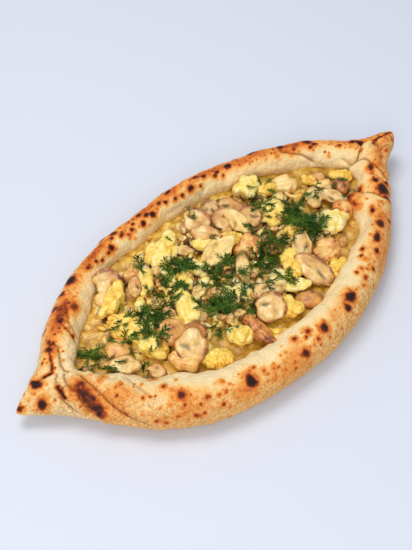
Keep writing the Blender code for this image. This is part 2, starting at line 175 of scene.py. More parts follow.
# Curds and chunks, in the order of their nodes: place, lift above the cheese, length, width, height,
# heading and bend. Then, for egg, how pale and how crumbly it is, and for chicken how browned it is
# and how much egg clings to it.
EGGS = (
    ((58.5, 50.0), 6.0, 22, 19, 18, 5, 0, 0.62, 0.0),
    ((70.5, 41.0), 4.5, 20, 13, 12, -35, 20, 0.42, 0.7),
    ((56.0, 19.0), 5.0, 26, 23, 13, -20, 10, 0.55, 0.3),
    ((82.5, -15.0), 5.0, 27, 23, 13, -30, -20, 0.72, 0.2),
    ((-26.5, 46.0), 5.5, 33, 19, 15, 28, -20, 0.60, 0.1),
    ((-82.5, 36.5), 6.0, 33, 14, 14, 30, 20, 0.45, 0.4),
    ((-91.5, 16.0), 5.0, 24, 21, 12, -60, 0, 0.35, 0.2),
    ((-88.0, -5.5), 5.5, 31, 18, 14, -70, 25, 0.45, 0.1),
    ((-54.5, 35.0), 4.0, 26, 12, 11, 52, 15, 0.50, 0.3),
    ((-50.0, -1.0), 5.5, 34, 16, 14, 68, -15, 0.60, 0.2),
    ((-62.5, -46.0), 4.5, 22, 17, 13, -30, 0, 0.40, 0.8),
    ((-36.5, -42.5), 4.5, 20, 16, 13, -20, 0, 0.55, 0.2),
    ((30.0, -24.5), 5.0, 28, 15, 13, 60, 20, 0.40, 0.2),
    ((54.0, -44.5), 4.0, 21, 10, 10, 15, 40, 0.35, 0.2),
    ((3.0, -47.0), 4.5, 23, 18, 12, -50, 0, 0.40, 0.3),
    ((14.0, 21.5), 5.0, 18, 13, 12, -10, 0, 0.35, 0.2),
    ((-19.0, -57.0), 2.5, 19, 13, 8, -30, 0, 0.30, 0.4),
    ((15.0, -25.5), 4.5, 18, 13, 11, 40, 0, 0.70, 0.1),
    ((122.0, 14.0), 3.5, 18, 12, 9, -40, 0, 0.36, 0.5),
    ((-34.5, 17.0), 4.5, 24, 12, 11, 55, 15, 0.60, 0.4),
    ((58.0, -3.5), 4.0, 22, 13, 10, -30, 10, 0.40, 0.3),
    ((-20.0, 18.5), 4.0, 20, 16, 10, -40, 0, 0.65, 0.3),
    ((-14.0, -16.0), 4.0, 24, 15, 10, -35, 15, 0.70, 0.4),
)

CHICKENS = (
    ((-26.0, -47.5), 6.0, 32, 14, 9, 82, 18, 0.75, 0.0),
    ((17.5, 7.0), 6.0, 21, 18, 14, 20, 0, 0.60, 0.2),
    ((58.0, -31.0), 6.0, 22, 20, 14, -20, 0, 0.50, 0.1),
    ((84.0, 35.5), 5.0, 20, 17, 13, -40, 0, 0.20, 0.2),
    ((98.0, -11.0), 5.5, 16, 12, 12, -80, 0, 0.55, 0.0),
    ((-80.5, -32.0), 4.5, 22, 14, 11, -65, 0, 0.45, 0.2),
    ((-54.5, 46.5), 4.5, 19, 13, 10, 30, 0, 0.40, 0.1),
    ((104.0, 13.5), 4.5, 15, 12, 11, -30, 0, 0.25, 0.2),
)

# Smaller curds between the larger ones, laid out as in EGGS.
LOOSE_CURDS = (
    ((-84.5, 8.5), 6.5, 33, 15, 11, -43, 10, 0.50, 0.2),
    ((101.0, 26.0), 5.0, 14, 9, 7, -60, 0, 0.30, 0.2),
    ((48.0, -42.0), 4.0, 20, 10, 8, -80, 20, 0.30, 0.2),
    ((-40.0, 27.0), 5.0, 20, 8, 7, 75, 30, 0.62, 0.2),
    ((-30.0, 3.0), 5.0, 22, 9, 8, 20, -20, 0.66, 0.3),
    ((-3.0, 30.0), 5.5, 20, 12, 9, -43, 0, 0.65, 0.2),
    ((-62.0, -8.0), 4.0, 18, 10, 8, -70, 0, 0.50, 0.3),
    ((-34.0, 51.0), 4.0, 20, 12, 8, 30, 0, 0.55, 0.2),
    ((20.0, -38.0), 4.0, 22, 12, 8, -20, 10, 0.60, 0.2),
    ((66.0, 27.0), 4.0, 18, 10, 7, 10, 0, 0.6, 0.3),
    ((-71.0, 22.0), 4.0, 16, 8, 7, 60, 0, 0.62, 0.3),
)


def smooth(low, high, x):
    """0 up to low, 1 from high on, and a smooth slope between them. High may be the lower one."""
    share = np.clip((x - low) / (high - low), 0, 1)
    return share * share * (3 - 2 * share)


def bell(x, wide):
    """1 at 0, falling evenly on both sides, to about a third that wide away."""
    return np.exp(-((x / wide) ** 2))


def station(column, t):
    """A column of STATIONS at angles t round the loop, on a smooth curve through them."""
    values = np.array([row[column] for row in STATIONS])
    place = (t / FULL_TURN * len(values)) % len(values)
    first = np.floor(place).astype(int)
    f = place - first
    a, b, c, d = (values[(first + k) % len(values)] for k in (-1, 0, 1, 2))
    return b + 0.5 * f * (c - a + f * (2 * a - 5 * b + 4 * c - d + f * (3 * b - a - 3 * c + d)))


def plan(t, offset):
    """The loop seen from above, offset outwards by that many mm from the roll's middle line."""
    c, s = np.cos(t), np.sin(t)
    pointed = POINTED["left"] + (POINTED["right"] - POINTED["left"]) * smooth(-1, 1, c)
    out = station(0, t) + offset
    x = (OVAL_HALF[0] + LENGTH_GROWTH * out) * c
    y = (OVAL_HALF[1] + out) * s * (np.abs(s) + 1e-6) ** pointed
    return x + OVAL_CENTRE[0], y + OVAL_CENTRE[1]


def inward(t):
    """How far the inner wall stands into the hollow, with the knob and the recess after it."""
    def bump(place, wide):
        """A bump in that direction, both in degrees round the loop."""
        return bell((np.degrees(t) - place + 180) % 360 - 180, wide)
    lobes = 0.8 * np.sin(11 * t + 1.0) + 0.8 * np.sin(17 * t + 2.6)
    return lobes + 2.0 * bump(-30, 4.5) - 6.5 * bump(-43, 9) - 2.0 * bump(-15, 6)


def puffs(t):
    """How much the crest rises and sinks along the loop."""
    return 1.0 * np.sin(5 * t + 0.8) + 0.7 * np.sin(9 * t + 2.1)


def plain_roll(t, over):
    """The rim without its folds: points for angles t round the loop and over the roll (radians)."""
    c, s = np.cos(t), np.sin(t)
    x, y = plan(t, station(1, t) * np.cos(over) - inward(t) * smooth(0.1, -0.8, np.cos(over)))
    rise = ROLL_RISE * np.sin(over)
    right = c > 0
    tip = {k: np.where(right, TIPS["right"][k], TIPS["left"][k]) for k in TIPS["left"]}
    away, blunt = np.sqrt(s ** 2 + tip["blunt"] ** 2) / tip["spread"], tip["blunt"] / tip["spread"]
    pull = np.exp(blunt ** TIP_POWER - away ** TIP_POWER) * smooth(-0.9, 0.9, np.cos(over))
    x = x + np.where(right, 1, -1) * tip["reach"] * pull
    y = y + (tip["lean"] + tip["fat"] * np.clip(s / 0.09, -1, 1)) * pull
    z = ROLL_CENTRE + (tip["height"] - ROLL_CENTRE) * pull
    z = z + rise * (1 - (1 - TIP_THICKNESS) * pull) + puffs(t) * np.sin(over)
    return np.stack([x, y, np.maximum(z, LOWEST)], -1)


def at_height(x, y, z):
    """Points of a line seen from above, all at one height."""
    return np.stack([x, y, np.broadcast_to(z, x.shape)], -1)


def inside_share(x, y):
    """1 in the middle of the hollow, falling to 0 at its wall and below 0 past it."""
    return 1 - ((x - OVAL_CENTRE[0]) / HOLLOW_HALF[0]) ** 2 - ((y - OVAL_CENTRE[1]) / HOLLOW_HALF[1]) ** 2


def cheese_height(x, y):
    """Height of the cheese's plain surface at a place in the hollow."""
    return CHEESE_EDGE + CHEESE_CROWN * smooth(0, 1, inside_share(x, y))


# ---------------------------------------------------------------- noise on arrays of points


def lattice(cell, seed):
    """A fixed number from 0 to 1 for each whole-numbered cell."""
    h = cell[..., 0] * 73856093 ^ cell[..., 1] * 19349663 ^ cell[..., 2] * 83492791 ^ (seed * 6971 + 17)
    h = (h ^ (h >> 13)) * 1274126177 & 0xFFFFFFFF
    h = (h ^ (h >> 16)) * 668265263 & 0xFFFFFFFF
    return ((h >> 8) & 0xFFFF) / 0xFFFF


def grain(points, size, seed=0):
    """Smooth noise from -1 to 1 with lumps of that size in mm."""
    place = points / size
    low = np.floor(place).astype(np.int64)
    f = place - low
    f = f * f * (3 - 2 * f)
    total = 0
    for corner in itertools.product((0, 1), repeat=3):
        weight = np.prod([f[..., k] if corner[k] else 1 - f[..., k] for k in range(3)], 0)
        total = total + weight * lattice(low + corner, seed)
    return 2 * total - 1


def rough(points, size, seed=0, octaves=3):
    """Noise of several sizes, each half the size and strength of the one before."""
    askew = points @ np.array(Matrix.Rotation(0.7, 3, (1, 2, 3)))
    layers = [grain(askew / 0.5 ** k, size, seed + k) * 0.5 ** k for k in range(octaves)]
    return sum(layers) / sum(0.5 ** k for k in range(octaves))


def cells(points, size, seed=0):
    """Distances to the nearest and second nearest of points strewn one to a cell, in cells."""
    place = points / size
    low = np.floor(place).astype(np.int64)
    first = np.full(place.shape[:-1], 9.0)
    second = first.copy()
    for step in itertools.product((-1, 0, 1), repeat=3):
        cell = low + step
        spot = cell + np.stack([lattice(cell, seed + 31 * k) for k in (1, 2, 3)], -1)
        away = np.linalg.norm(spot - place, axis=-1)
        second = np.minimum(second, np.maximum(first, away))
        first = np.minimum(first, away)
    return first, second


def folds(points, size, seed=0):
    """Soft lumps parted by winding creases, from 0 in a crease to 1."""
    return np.minimum(1, np.abs(rough(points, size, seed, 2)) / 0.3) ** 0.7


def pillows(points, size, seed=0):
    """Rounded lumps with narrow valleys between them, from 0 in a valley to 1 on a lump."""
    first, second = cells(points, size, seed)
    return smooth(0, 0.45, second - first)


# ---------------------------------------------------------------- meshes


def store(mesh, key, values):
    """Keeps a number for each point of a mesh, which its material reads. One number does for all."""
    layer = mesh.attributes.new(key, "FLOAT", "POINT")
    layer.data.foreach_set("value", np.full(len(mesh.vertices), np.ravel(values), dtype=np.float32))


def make_mesh(name, points, faces, looks):
    """A smooth-shaded object from points in mm, with its looks stored by name."""
    mesh = bpy.data.meshes.new(name)
    mesh.from_pydata((np.asarray(points) * MM).tolist(), [], faces)
    for key, values in looks.items():
        store(mesh, key, values)
    mesh.shade_smooth()
    mesh.update()
    obj = bpy.data.objects.new(name, mesh)
    bpy.context.scene.collection.objects.link(obj)
    return obj


def mesh_points(mesh):
    """The points of a mesh, in mm."""
    values = np.empty(len(mesh.vertices) * 3)
    mesh.vertices.foreach_get("co", values)
    return values.reshape(-1, 3) / MM


def finish_piece(obj, material, slot, *nodes):
    """Gives a piece its material, sets it on the root body and hides the solids it stands for. The slot is
    not used.
    """
    obj.data.materials.append(material)
    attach(obj, "root")
    if nodes:
        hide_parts(*nodes)


def tube_faces(rows, columns, turn=False):
    """Faces between rows of points that close round on themselves, and one at each end."""
    r, k = np.meshgrid(np.arange(rows - 1), np.arange(columns), indexing="ij")
    a, b = r * columns + k, r * columns + (k + 1) % columns
    faces = np.stack([a, b, b + columns, a + columns], -1).reshape(-1, 4).tolist()
    faces += [list(range(columns))[::-1], list(range((rows - 1) * columns, rows * columns))]
    return [face[::-1] for face in faces] if turn else faces


def ring_normals(points):
    """Normals of a grid of points whose columns close round."""
    around = np.roll(points, -1, 1) - np.roll(points, 1, 1)
    normal = np.cross(around, np.gradient(points, axis=0))
    return normal / (np.linalg.norm(normal, axis=-1, keepdims=True) + 1e-9)


class Bodies:
    """Gathers bodies and their looks, to be one mesh or to be melted into one soft skin."""

    def __init__(self):
        self.points, self.faces, self.looks, self.count = [], [], {}, 0

    def add(self, points, faces, looks):
        """Adds one body. A look is a number for each of its points, or one for them all."""
        self.faces += [tuple(v + self.count for v in face) for face in faces]
        self.points.append(points)
        self.count += len(points)
        for key, values in looks.items():
            self.looks.setdefault(key, []).append(np.full(len(points), values))

    def make(self, name, material, slot):
        """Makes the piece of all the bodies as they are. Returns its points."""
        points = np.concatenate(self.points)
        looks = {key: np.concatenate(values) for key, values in self.looks.items()}
        finish_piece(make_mesh(name, points, self.faces, looks), material, slot)
        return points

    def skin(self, voxel, rounds):
        """The points and faces of one skin of squares of that size, smoothed so many times."""
        obj = make_mesh("clay", np.concatenate(self.points), self.faces, {})
        step = obj.modifiers.new("skin", "REMESH")
        step.mode = "VOXEL"
        step.voxel_size = voxel * MM
        soften = obj.modifiers.new("soften", "SMOOTH")
        soften.iterations = rounds
        soften.factor = 0.5
        made = obj.evaluated_get(bpy.context.evaluated_depsgraph_get()).to_mesh()
        points = mesh_points(made)
        quads = np.empty(len(made.loops), dtype=int)
        made.loops.foreach_get("vertex_index", quads)
        mesh = obj.data
        bpy.data.objects.remove(obj)
        bpy.data.meshes.remove(mesh)
        return points, quads.reshape(-1, 4)


# ---------------------------------------------------------------- materials


def tint(red, green, blue):
    """Screen values from 0 to 255 as the renderer's linear colour."""
    def linear(value):
        """One screen value as linear light."""
        value /= 255
        return value / 12.92 if value <= 0.04045 else ((value + 0.055) / 1.055) ** 2.4
    return (linear(red), linear(green), linear(blue), 1)


class Nodes:
    """Short ways to lay out one material's nodes."""

    def __init__(self, name):
        self.material = bpy.data.materials.new(name)
        self.material.use_nodes = True
        self.tree = self.material.node_tree
        self.place = self.node("TexCoord", {}).outputs["Object"]

    def node(self, kind, inputs, **settings):
        """A new node with its settings, and its inputs fed by name or number."""
        made = self.tree.nodes.new("ShaderNode" + kind)
        for key, value in settings.items():
            setattr(made, key, value)
        for key, value in inputs.items():
            self.feed(made.inputs[key], value)
        return made

    def feed(self, socket, value):
        """Links an output to a socket, or sets a plain value on it."""
        if isinstance(value, bpy.types.NodeSocket):
            self.tree.links.new(value, socket)
        else:
            socket.default_value = value

    def attribute(self, name):
        """The number stored for each point under that name."""
        return self.node("Attribute", {}, attribute_name=name).outputs["Fac"]

    def noise(self, size, detail, roughness=0.55):
        """Noise from 0 to 1 with lumps of about that size in mm."""
        inputs = {"Vector": self.place, "Scale": 1000 / size, "Detail": detail, "Roughness": roughness}
        return self.node("TexNoise", inputs).outputs["Fac"]

    def varied(self, low, high, *noise):
        """Noise as above that wanders between two values."""
        return self.spread(self.noise(*noise), 0.3, 0.7, low, high)

    def cells(self, size):
        """Distance to the nearest of points strewn about that many mm apart, in cells."""
        return self.node("TexVoronoi", {"Vector": self.place, "Scale": 1000 / size}).outputs["Distance"]

    def plus(self, first, second):
        """The sum of two values."""
        return self.node("Math", {0: first, 1: second}, operation="ADD").outputs[0]

    def times(self, first, *others):
        """The product of two or more values."""
        for other in others:
            first = self.node("Math", {0: first, 1: other}, operation="MULTIPLY").outputs[0]
        return first

    def spread(self, value, low, high, to_low=0.0, to_high=1.0):
        """Moves a range of values to another range and holds it there."""
        inputs = {"Value": value, "From Min": low, "From Max": high, "To Min": to_low, "To Max": to_high}
        return self.node("MapRange", inputs).outputs[0]

    def ramp(self, value, *stops):
        """Colours along a value: stops are place, red, green and blue."""
        made = self.node("ValToRGB", {"Fac": value})
        elements = made.color_ramp.elements
        while len(elements) < len(stops):
            elements.new(0.5)
        for element, (place, *colour) in zip(elements, stops):
            element.position = place
            element.color = tint(*colour)
        return made.outputs["Color"]

    def mix(self, share, first, second, blend="MIX"):
        """The first colour with that share of the second."""
        inputs = {"Factor": share, "A": first, "B": second}
        return self.node("Mix", inputs, data_type="RGBA", blend_type=blend).outputs["Result"]

    def bump(self, height, depth):
        """Fine relief of that depth in mm, for the shader's normal."""
        inputs = {"Strength": 1, "Distance": depth * MM, "Height": height}
        return self.node("Bump", inputs).outputs["Normal"]

    def finish(self, **values):
        """Feeds the shader's sockets by name, with spaces written as underscores."""
        shader = self.tree.nodes["Principled BSDF"]
        for key, value in values.items():
            self.feed(shader.inputs[key.replace("_", " ")], value)
        return self.material

    def moist(self, colour, roughness, coat, normal, flesh, radius, reach=0.002):
        """Finishes moist food: painted shade in the gaps between pieces, with a wet coat over soft flesh."""
        # painted shade: the colour is multiplied towards dark brown where the point lies below what is round
        # it
        colour = self.mix(self.attribute("painted_gap_shade"), colour, tint(104, 66, 28), "MULTIPLY")
        return self.finish(Base_Color=colour, Roughness=roughness, Coat_Weight=coat, Coat_Roughness=0.2,
                           Normal=normal, Subsurface_Weight=flesh, Subsurface_Scale=reach,
                           Subsurface_Radius=radius)


def crust_material():
    """Baked dough: floury and pale, golden where toasted, brown to black on the blisters."""
    n = Nodes("crust")
    sandy = n.attribute("flour")
    mottle = n.spread(n.noise(3.6, 2), 0.48, 0.66, 0, 0.13)
    warm = n.spread(n.attribute("baked"), 0.16, 0.3)
    baked = n.plus(n.attribute("baked"), n.varied(-0.035, 0.035, 1.3, 4))
    baked = n.plus(baked, n.times(mottle, warm))
    colour = n.ramp(baked, (0.00, 250, 229, 184), (0.10, 252, 223, 166), (0.22, 252, 200, 122),
                    (0.38, 240, 148, 60), (0.54, 204, 98, 36), (0.68, 142, 58, 22), (0.84, 84, 35, 16),
                    (1.00, 40, 20, 13))
    pale = n.spread(baked, 0.45, 0.25)
    grit = n.spread(n.noise(1.8, 5, 0.7), 0.42, 0.6)
    colour = n.mix(n.times(sandy, grit, 0.75), colour, tint(202, 138, 70))
    grains = n.spread(n.cells(1.5), 0.14, 0.32, 1, 0)
    colour = n.mix(n.times(grains, sandy, pale, 0.7), colour, tint(250, 230, 196))
    freckles = n.times(n.spread(n.noise(2.6, 3, 0.7), 0.6, 0.68), n.spread(n.noise(14, 2), 0.45, 0.6))
    colour = n.mix(n.times(freckles, pale, 0.5), colour, tint(232, 152, 78))
    pinholes = n.times(n.spread(n.cells(2.6), 0.05, 0.17, 1, 0), n.spread(n.noise(5, 2), 0.45, 0.6))
    colour = n.mix(n.times(pinholes, 0.8), colour, tint(138, 70, 34))
    # painted shade along the folds' creases
    colour = n.mix(n.attribute("painted_crease_shade"), colour, tint(170, 130, 92), "MULTIPLY")
    bumps = n.plus(n.plus(n.times(n.noise(0.9, 3), 0.5), n.noise(2.2, 4)), n.times(pinholes, -0.4))
    return n.finish(Base_Color=colour, Roughness=n.spread(baked, 0.3, 0.9, 0.7, 0.5),
                    Specular_IOR_Level=0.2, Normal=n.bump(bumps, 1.2), Subsurface_Weight=0.05,
                    Subsurface_Scale=0.002, Subsurface_Radius=(1.0, 0.6, 0.3))


def cheese_material():
    """Melted cheese: oily and golden at the edges, paler and clotted in the middle."""
    n = Nodes("cheese")
    clot = n.plus(n.attribute("clot"), n.varied(-0.25, 0.25, 4, 4))
    colour = n.ramp(clot, (0.0, 180, 126, 32), (0.35, 212, 164, 56), (0.7, 234, 194, 88),
                    (1.0, 244, 214, 128))
    colour = n.mix(n.spread(n.noise(7, 3), 0.5, 0.7, 0, 0.35), colour, tint(246, 212, 122))
    return n.moist(colour, n.varied(0.25, 0.45, 3, 3), 0.2, n.bump(n.noise(3, 3), 0.25),
                   0.2, (1.0, 0.7, 0.3), 0.003)


def egg_material():
    """Scrambled egg: soft yellow, deeper in its folds as painted shade and paler on its ridges as painted
    light, moist.
    """
    n = Nodes("egg")
    streak = n.plus(n.attribute("pale"), n.varied(-0.18, 0.18, 5, 4))
    colour = n.ramp(streak, (0.0, 196, 126, 30), (0.25, 236, 180, 60), (0.5, 250, 210, 90),
                    (0.75, 252, 226, 132), (1.0, 248, 232, 176))
    bumps = n.plus(n.noise(0.9, 3), n.times(n.noise(2.2, 3), 0.8))
    return n.moist(colour, n.varied(0.3, 0.5, 2, 3), 0.2, n.bump(bumps, 0.25), 0.12, (1.0, 0.8, 0.4))


def mushroom_material():
    """Fried champignon: cream flesh with a browned rim, which painted shade widens on the side away from the
    light, grey-brown gills and tan skin.
    """
    n = Nodes("mushroom")
    flesh = n.ramp(n.noise(8, 4), (0.34, 204, 148, 76), (0.5, 230, 186, 112), (0.64, 248, 224, 164))
    cloud = n.plus(n.varied(-0.2, 0.2, 5, 5, 0.6), n.attribute("seared"))
    skin = n.ramp(cloud, (0.0, 246, 206, 136), (0.25, 240, 184, 106), (0.5, 218, 150, 74),
                  (0.75, 166, 98, 44), (1.0, 72, 42, 22))
    colour = n.mix(n.spread(cloud, 0.25, 0.7, 0, 0.9), flesh, tint(214, 140, 62))
    colour = n.mix(n.attribute("skin"), colour, skin)
    # the rim's brown: real browning, with painted shade on the side away from the light
    browned_rim_and_painted_shade = n.times(n.attribute("browned_rim_and_painted_shade"), n.spread(n.noise(5, 3), 0.36, 0.54, 0.45, 1))
    rim_colour = n.ramp(n.noise(3, 4), (0.36, 104, 54, 20), (0.52, 166, 94, 36), (0.68, 208, 134, 60))
    colour = n.mix(browned_rim_and_painted_shade, colour, rim_colour)
    gill = n.times(n.attribute("gill"), n.spread(n.noise(1.6, 4), 0.3, 0.55, 0.5, 1))
    colour = n.mix(gill, colour, tint(92, 78, 66))
    coat = n.times(n.attribute("coat"), n.spread(n.noise(5, 3), 0.35, 0.55))
    colour = n.mix(coat, colour, tint(252, 220, 132))
    return n.moist(colour, n.varied(0.25, 0.45, 2.5, 3), 0.25, n.bump(n.noise(1.4, 4), 0.25),
                   0.08, (1.0, 0.75, 0.5))


def chicken_material():
    """Fried chicken: fibrous pale meat, golden with browned ridges."""
    n = Nodes("chicken")
    sear = n.plus(n.attribute("seared"), n.varied(-0.2, 0.2, 3.5, 5))
    colour = n.ramp(sear, (0.0, 246, 214, 146), (0.3, 240, 188, 104), (0.52, 226, 150, 68),
                    (0.74, 184, 100, 40), (1.0, 90, 46, 20))
    coat = n.times(n.attribute("coat"), n.spread(n.noise(5, 3), 0.4, 0.55))
    colour = n.mix(coat, colour, tint(246, 214, 128))
    bumps = n.plus(n.noise(1.2, 4), n.noise(3, 3))
    return n.moist(colour, n.varied(0.22, 0.45, 2, 3), 0.25, n.bump(bumps, 0.3), 0.08, (1.0, 0.6, 0.35))


def filling_material():
    """The mixture between the pieces: melted cheese, crumbled egg and cream, browned in places, darker in its
    hollows as painted shade and paler on its lumps as painted light.
    """
    n = Nodes("filling")
    tone = n.plus(n.attribute("pale"), n.varied(-0.28, 0.28, 3, 5, 0.65))
    colour = n.ramp(tone, (0.0, 90, 52, 16), (0.2, 156, 100, 28), (0.4, 206, 152, 48),
                    (0.6, 236, 190, 80), (0.8, 248, 218, 130), (1.0, 246, 232, 184))
    return n.moist(colour, n.varied(0.3, 0.5, 2, 3), 0.15, n.bump(n.noise(1.2, 4), 0.3),
                   0.1, (1.0, 0.8, 0.45))


def herb_material():
    """Fresh dill: each sprig has a green tone of its own, with painted light on sprigs high in a heap and
    painted shade on those low in it.
    """
    n = Nodes("dill")
    shade = n.plus(n.attribute("shade"), n.varied(-0.12, 0.12, 6, 2))
    colour = n.ramp(shade, (0.0, 25, 50, 11), (0.55, 60, 98, 22), (1.0, 124, 150, 52))
    return n.finish(Base_Color=colour, Roughness=0.6, Specular_IOR_Level=0.2)


# ---------------------------------------------------------------- the bread

AROUND = 1100
ROLL_ANGLES = np.radians(np.concatenate([np.linspace(-50, 160, 72), [165, 170, 175, 180]]))
LINE_POINTS = 240  # of a fold or a scorch, searched coarsely at first
COARSE_STEP = 10

# Burnt blisters: (angle round, angle over), size in mm round and over, how dark.
BLISTERS = (
    # the near side
    ((250, 61), 4.6, 5.4, 1.0), ((274, 67), 3.6, 4.0, 0.9), ((266, 49), 3.4, 3.6, 0.85),
    ((286, 70), 5.0, 4.2, 1.0), ((283, 58), 3.2, 3.6, 0.9), ((270, 91), 2.6, 2.6, 0.8),
    ((266, 98), 2.2, 2.0, 0.75), ((231, 71), 4.0, 3.6, 0.8), ((258, 61), 1.6, 1.6, 0.6),
    ((262, 31), 1.8, 1.8, 0.6), ((225, 94), 2.0, 2.0, 0.7), ((220, 132), 2.4, 1.8, 0.6),
    ((238, 60), 2.2, 2.0, 0.65), ((242, 34), 2.2, 2.2, 0.65), ((243, 58), 1.8, 1.6, 0.6),
    ((236, 48), 1.6, 1.6, 0.6), ((237, 26), 1.8, 1.8, 0.65), ((235, 22), 2.2, 1.8, 0.7),
    ((230, 24), 1.8, 1.8, 0.6), ((224, 15), 2.2, 1.8, 0.6), ((227, 10), 2.4, 1.8, 0.6),
    ((294, 64), 2.4, 2.2, 0.7), ((298, 54), 2.6, 2.4, 0.7),
    # the right end
    ((331, 55), 5.4, 6.2, 1.0), ((327, 46), 3.4, 3.6, 0.9), ((321, 95), 3.0, 2.6, 0.9),
    ((315, 68), 4.4, 3.6, 0.9), ((309, 71), 6.0, 2.8, 0.95), ((304, 63), 3.0, 2.6, 0.85),
    ((304, 106), 2.2, 1.6, 0.8), ((301, 100), 2.0, 1.4, 0.75), ((344, 95), 4.5, 2.0, 0.8),
    ((336, 81), 3.2, 3.0, 0.85), ((342, 14), 2.4, 3.4, 0.9), ((318, 30), 2.0, 2.6, 0.8),
    ((12, 80), 5.0, 2.4, 0.95), ((15, 82), 3.4, 2.0, 0.9), ((20, 93), 1.8, 1.4, 0.8),
    ((30, 92), 3.0, 2.0, 0.85), ((-28, 138), 4.5, 4.5, 0.6),
    # the far side
    ((33, 80), 5.0, 3.0, 0.85), ((42, 76), 4.0, 3.0, 0.8), ((51, 58), 5.0, 3.4, 1.0),
    ((60, 90), 4.0, 2.4, 1.0), ((64, 99), 2.2, 1.8, 0.8), ((69, 96), 2.6, 1.8, 0.85),
    ((75, 116), 3.0, 2.8, 0.95), ((79, 122), 1.9, 1.8, 0.85), ((82, 120), 1.9, 1.8, 0.85),
    ((86, 111), 1.9, 1.9, 0.85), ((88, 98), 2.2, 1.8, 0.75), ((92, 121), 2.8, 2.8, 1.0),
    ((94, 102), 2.6, 2.4, 0.9), ((97, 121), 2.6, 2.6, 0.95), ((100, 96), 2.0, 1.6, 0.75),
    ((102, 111), 1.9, 1.9, 0.85), ((106, 105), 2.1, 1.9, 0.85), ((109, 90), 2.4, 1.8, 0.75),
    ((112, 121), 2.8, 2.8, 0.9), ((114, 129), 2.2, 2.0, 0.75), ((118, 129), 1.8, 1.6, 0.8),
    ((120, 111), 1.9, 1.8, 0.85), ((124, 100), 2.4, 2.0, 0.8), ((72, 84), 3.6, 2.0, 0.8),
    ((83, 80), 4.0, 2.0, 0.85), ((96, 80), 3.4, 2.0, 0.8), ((107, 76), 3.6, 2.4, 0.8),
    ((62, 40), 3.4, 3.4, 0.8), ((84, 34), 4.2, 4.0, 0.85), ((110, 40), 4.6, 4.2, 0.9),
    ((126, 26), 3.0, 3.0, 0.75), ((35, 36), 3.6, 3.4, 0.8), ((20, 30), 2.6, 2.6, 0.7),
    # the left end
    ((130, 64), 5.0, 4.6, 1.0), ((136, 56), 3.4, 3.4, 0.95), ((144, 60), 3.6, 3.4, 0.85),
    ((152, 88), 3.4, 3.0, 0.8), ((145, 112), 4.6, 3.6, 0.7), ((165, 78), 3.0, 3.4, 0.85),
    ((160, 64), 3.0, 3.0, 0.7), ((152, 30), 3.6, 3.6, 0.8), ((176, 74), 3.6, 3.8, 1.15),
    ((186, 48), 3.8, 4.6, 1.0), ((180, 38), 2.6, 2.6, 0.8),
)
SCORCHES = (  # burnt streaks: places as (angle round, angle over), half width in mm, how dark
    (((194, 84), (200, 54), (206, 20)), 5.4, 0.72),
    (((184, 94), (189, 74), (192, 54)), 1.5, 0.90),
    (((163, 74), (168, 84), (172, 96), (176, 100), (175, 84)), 0.8, 0.70),
    (((-23, 126), (-28, 142), (-33, 136)), 2.4, 0.60),
    (((4, 84), (1, 66), (0, 44)), 1.5, 0.66),
)
SMALL_BLISTERS = 430  # strewn over the toasted part of the rim


def nearest(points, line, reach):
    """Each point's distance to a line and the nearest place on it, exact within that reach."""
    coarse = np.linalg.norm(points[..., None, :] - line[::COARSE_STEP], axis=-1).min(-1)
    near = coarse < reach
    steps = np.linalg.norm(points[near][:, None] - line, axis=-1)
    place = np.zeros(points.shape[:-1], dtype=int)
    place[near] = steps.argmin(-1)
    coarse[near] = steps.min(-1)
    return coarse, place


def line_angles(places):
    """Angles round and over at many points of a line on the roll, given by a few places."""
    stops, steps = np.linspace(0, 1, len(places)), np.linspace(0, 1, LINE_POINTS)
    return [np.radians(np.interp(steps, stops, column)) for column in zip(*places)]


def burnt(away, dark):
    """How baked a blister is: a burnt core, a brown halo and an orange glow, by distance."""
    core = 1.08 * dark * np.exp(-((away / 0.95) ** 3))
    halo = np.minimum(0.58, 0.72 * dark) * np.exp(-((away / 1.5) ** 3))
    return np.maximum.reduce([core, halo, 0.38 * np.exp(-((away / 2.2) ** 3))])


def relief(points, t, over):
    """How far folds and swells move each point out, and how deep in a crease it lies, for the painted shade
    there.
    """
    rise = np.zeros(points.shape[:-1])
    painted_crease_shade = rise.copy()
    wobble = 1 + 0.2 * grain(points, 7, 5)
    for places, deep, wide, side in FOLDS:
        line_t, line_over = line_angles(places)
        away, place = nearest(points, plain_roll(line_t, line_over), 9 * wide)
        turn = (t - line_t[place] + math.pi) % FULL_TURN - math.pi
        away = away * wobble
        beside = smooth(-0.01, 0.04, turn * side) if side else 0.7
        rise += deep * (0.6 * beside * bell(away, 3 * wide) - 0.8 * bell(away, wide) - 0.35 * bell(away, 0.9))
        # painted shade along the crease, stronger for deeper folds
        painted_crease_shade = np.maximum(painted_crease_shade, bell(away, 0.8) * min(1, deep / 2))
    bulge = 3 * np.clip(rough(points * (1, 1, 0.3), 24, 12, 2), 0, 1)
    rise += bulge * smooth(110, 150, np.degrees(over))
    for place, high, wide in SWELLS:
        rise += high * bell(np.linalg.norm(points - plain_roll(*np.radians(place)), axis=-1), wide)
    fade = smooth(-1, -0.9, np.cos(over)) * smooth(-60, -20, np.degrees(over))
    return rise * fade, painted_crease_shade * fade


def blister_places():
    """The named blisters and the small strewn ones."""
    yield from BLISTERS
    rng = np.random.default_rng(11)
    for _ in range(SMALL_BLISTERS):
        turn = rng.uniform(0, 360)
        over = rng.normal(88 if turn < 175 else 62, 22)
        size = 0.6 + 1.5 * rng.random() ** 3
        yield (turn, over), size, size, rng.uniform(0.35, 0.8)


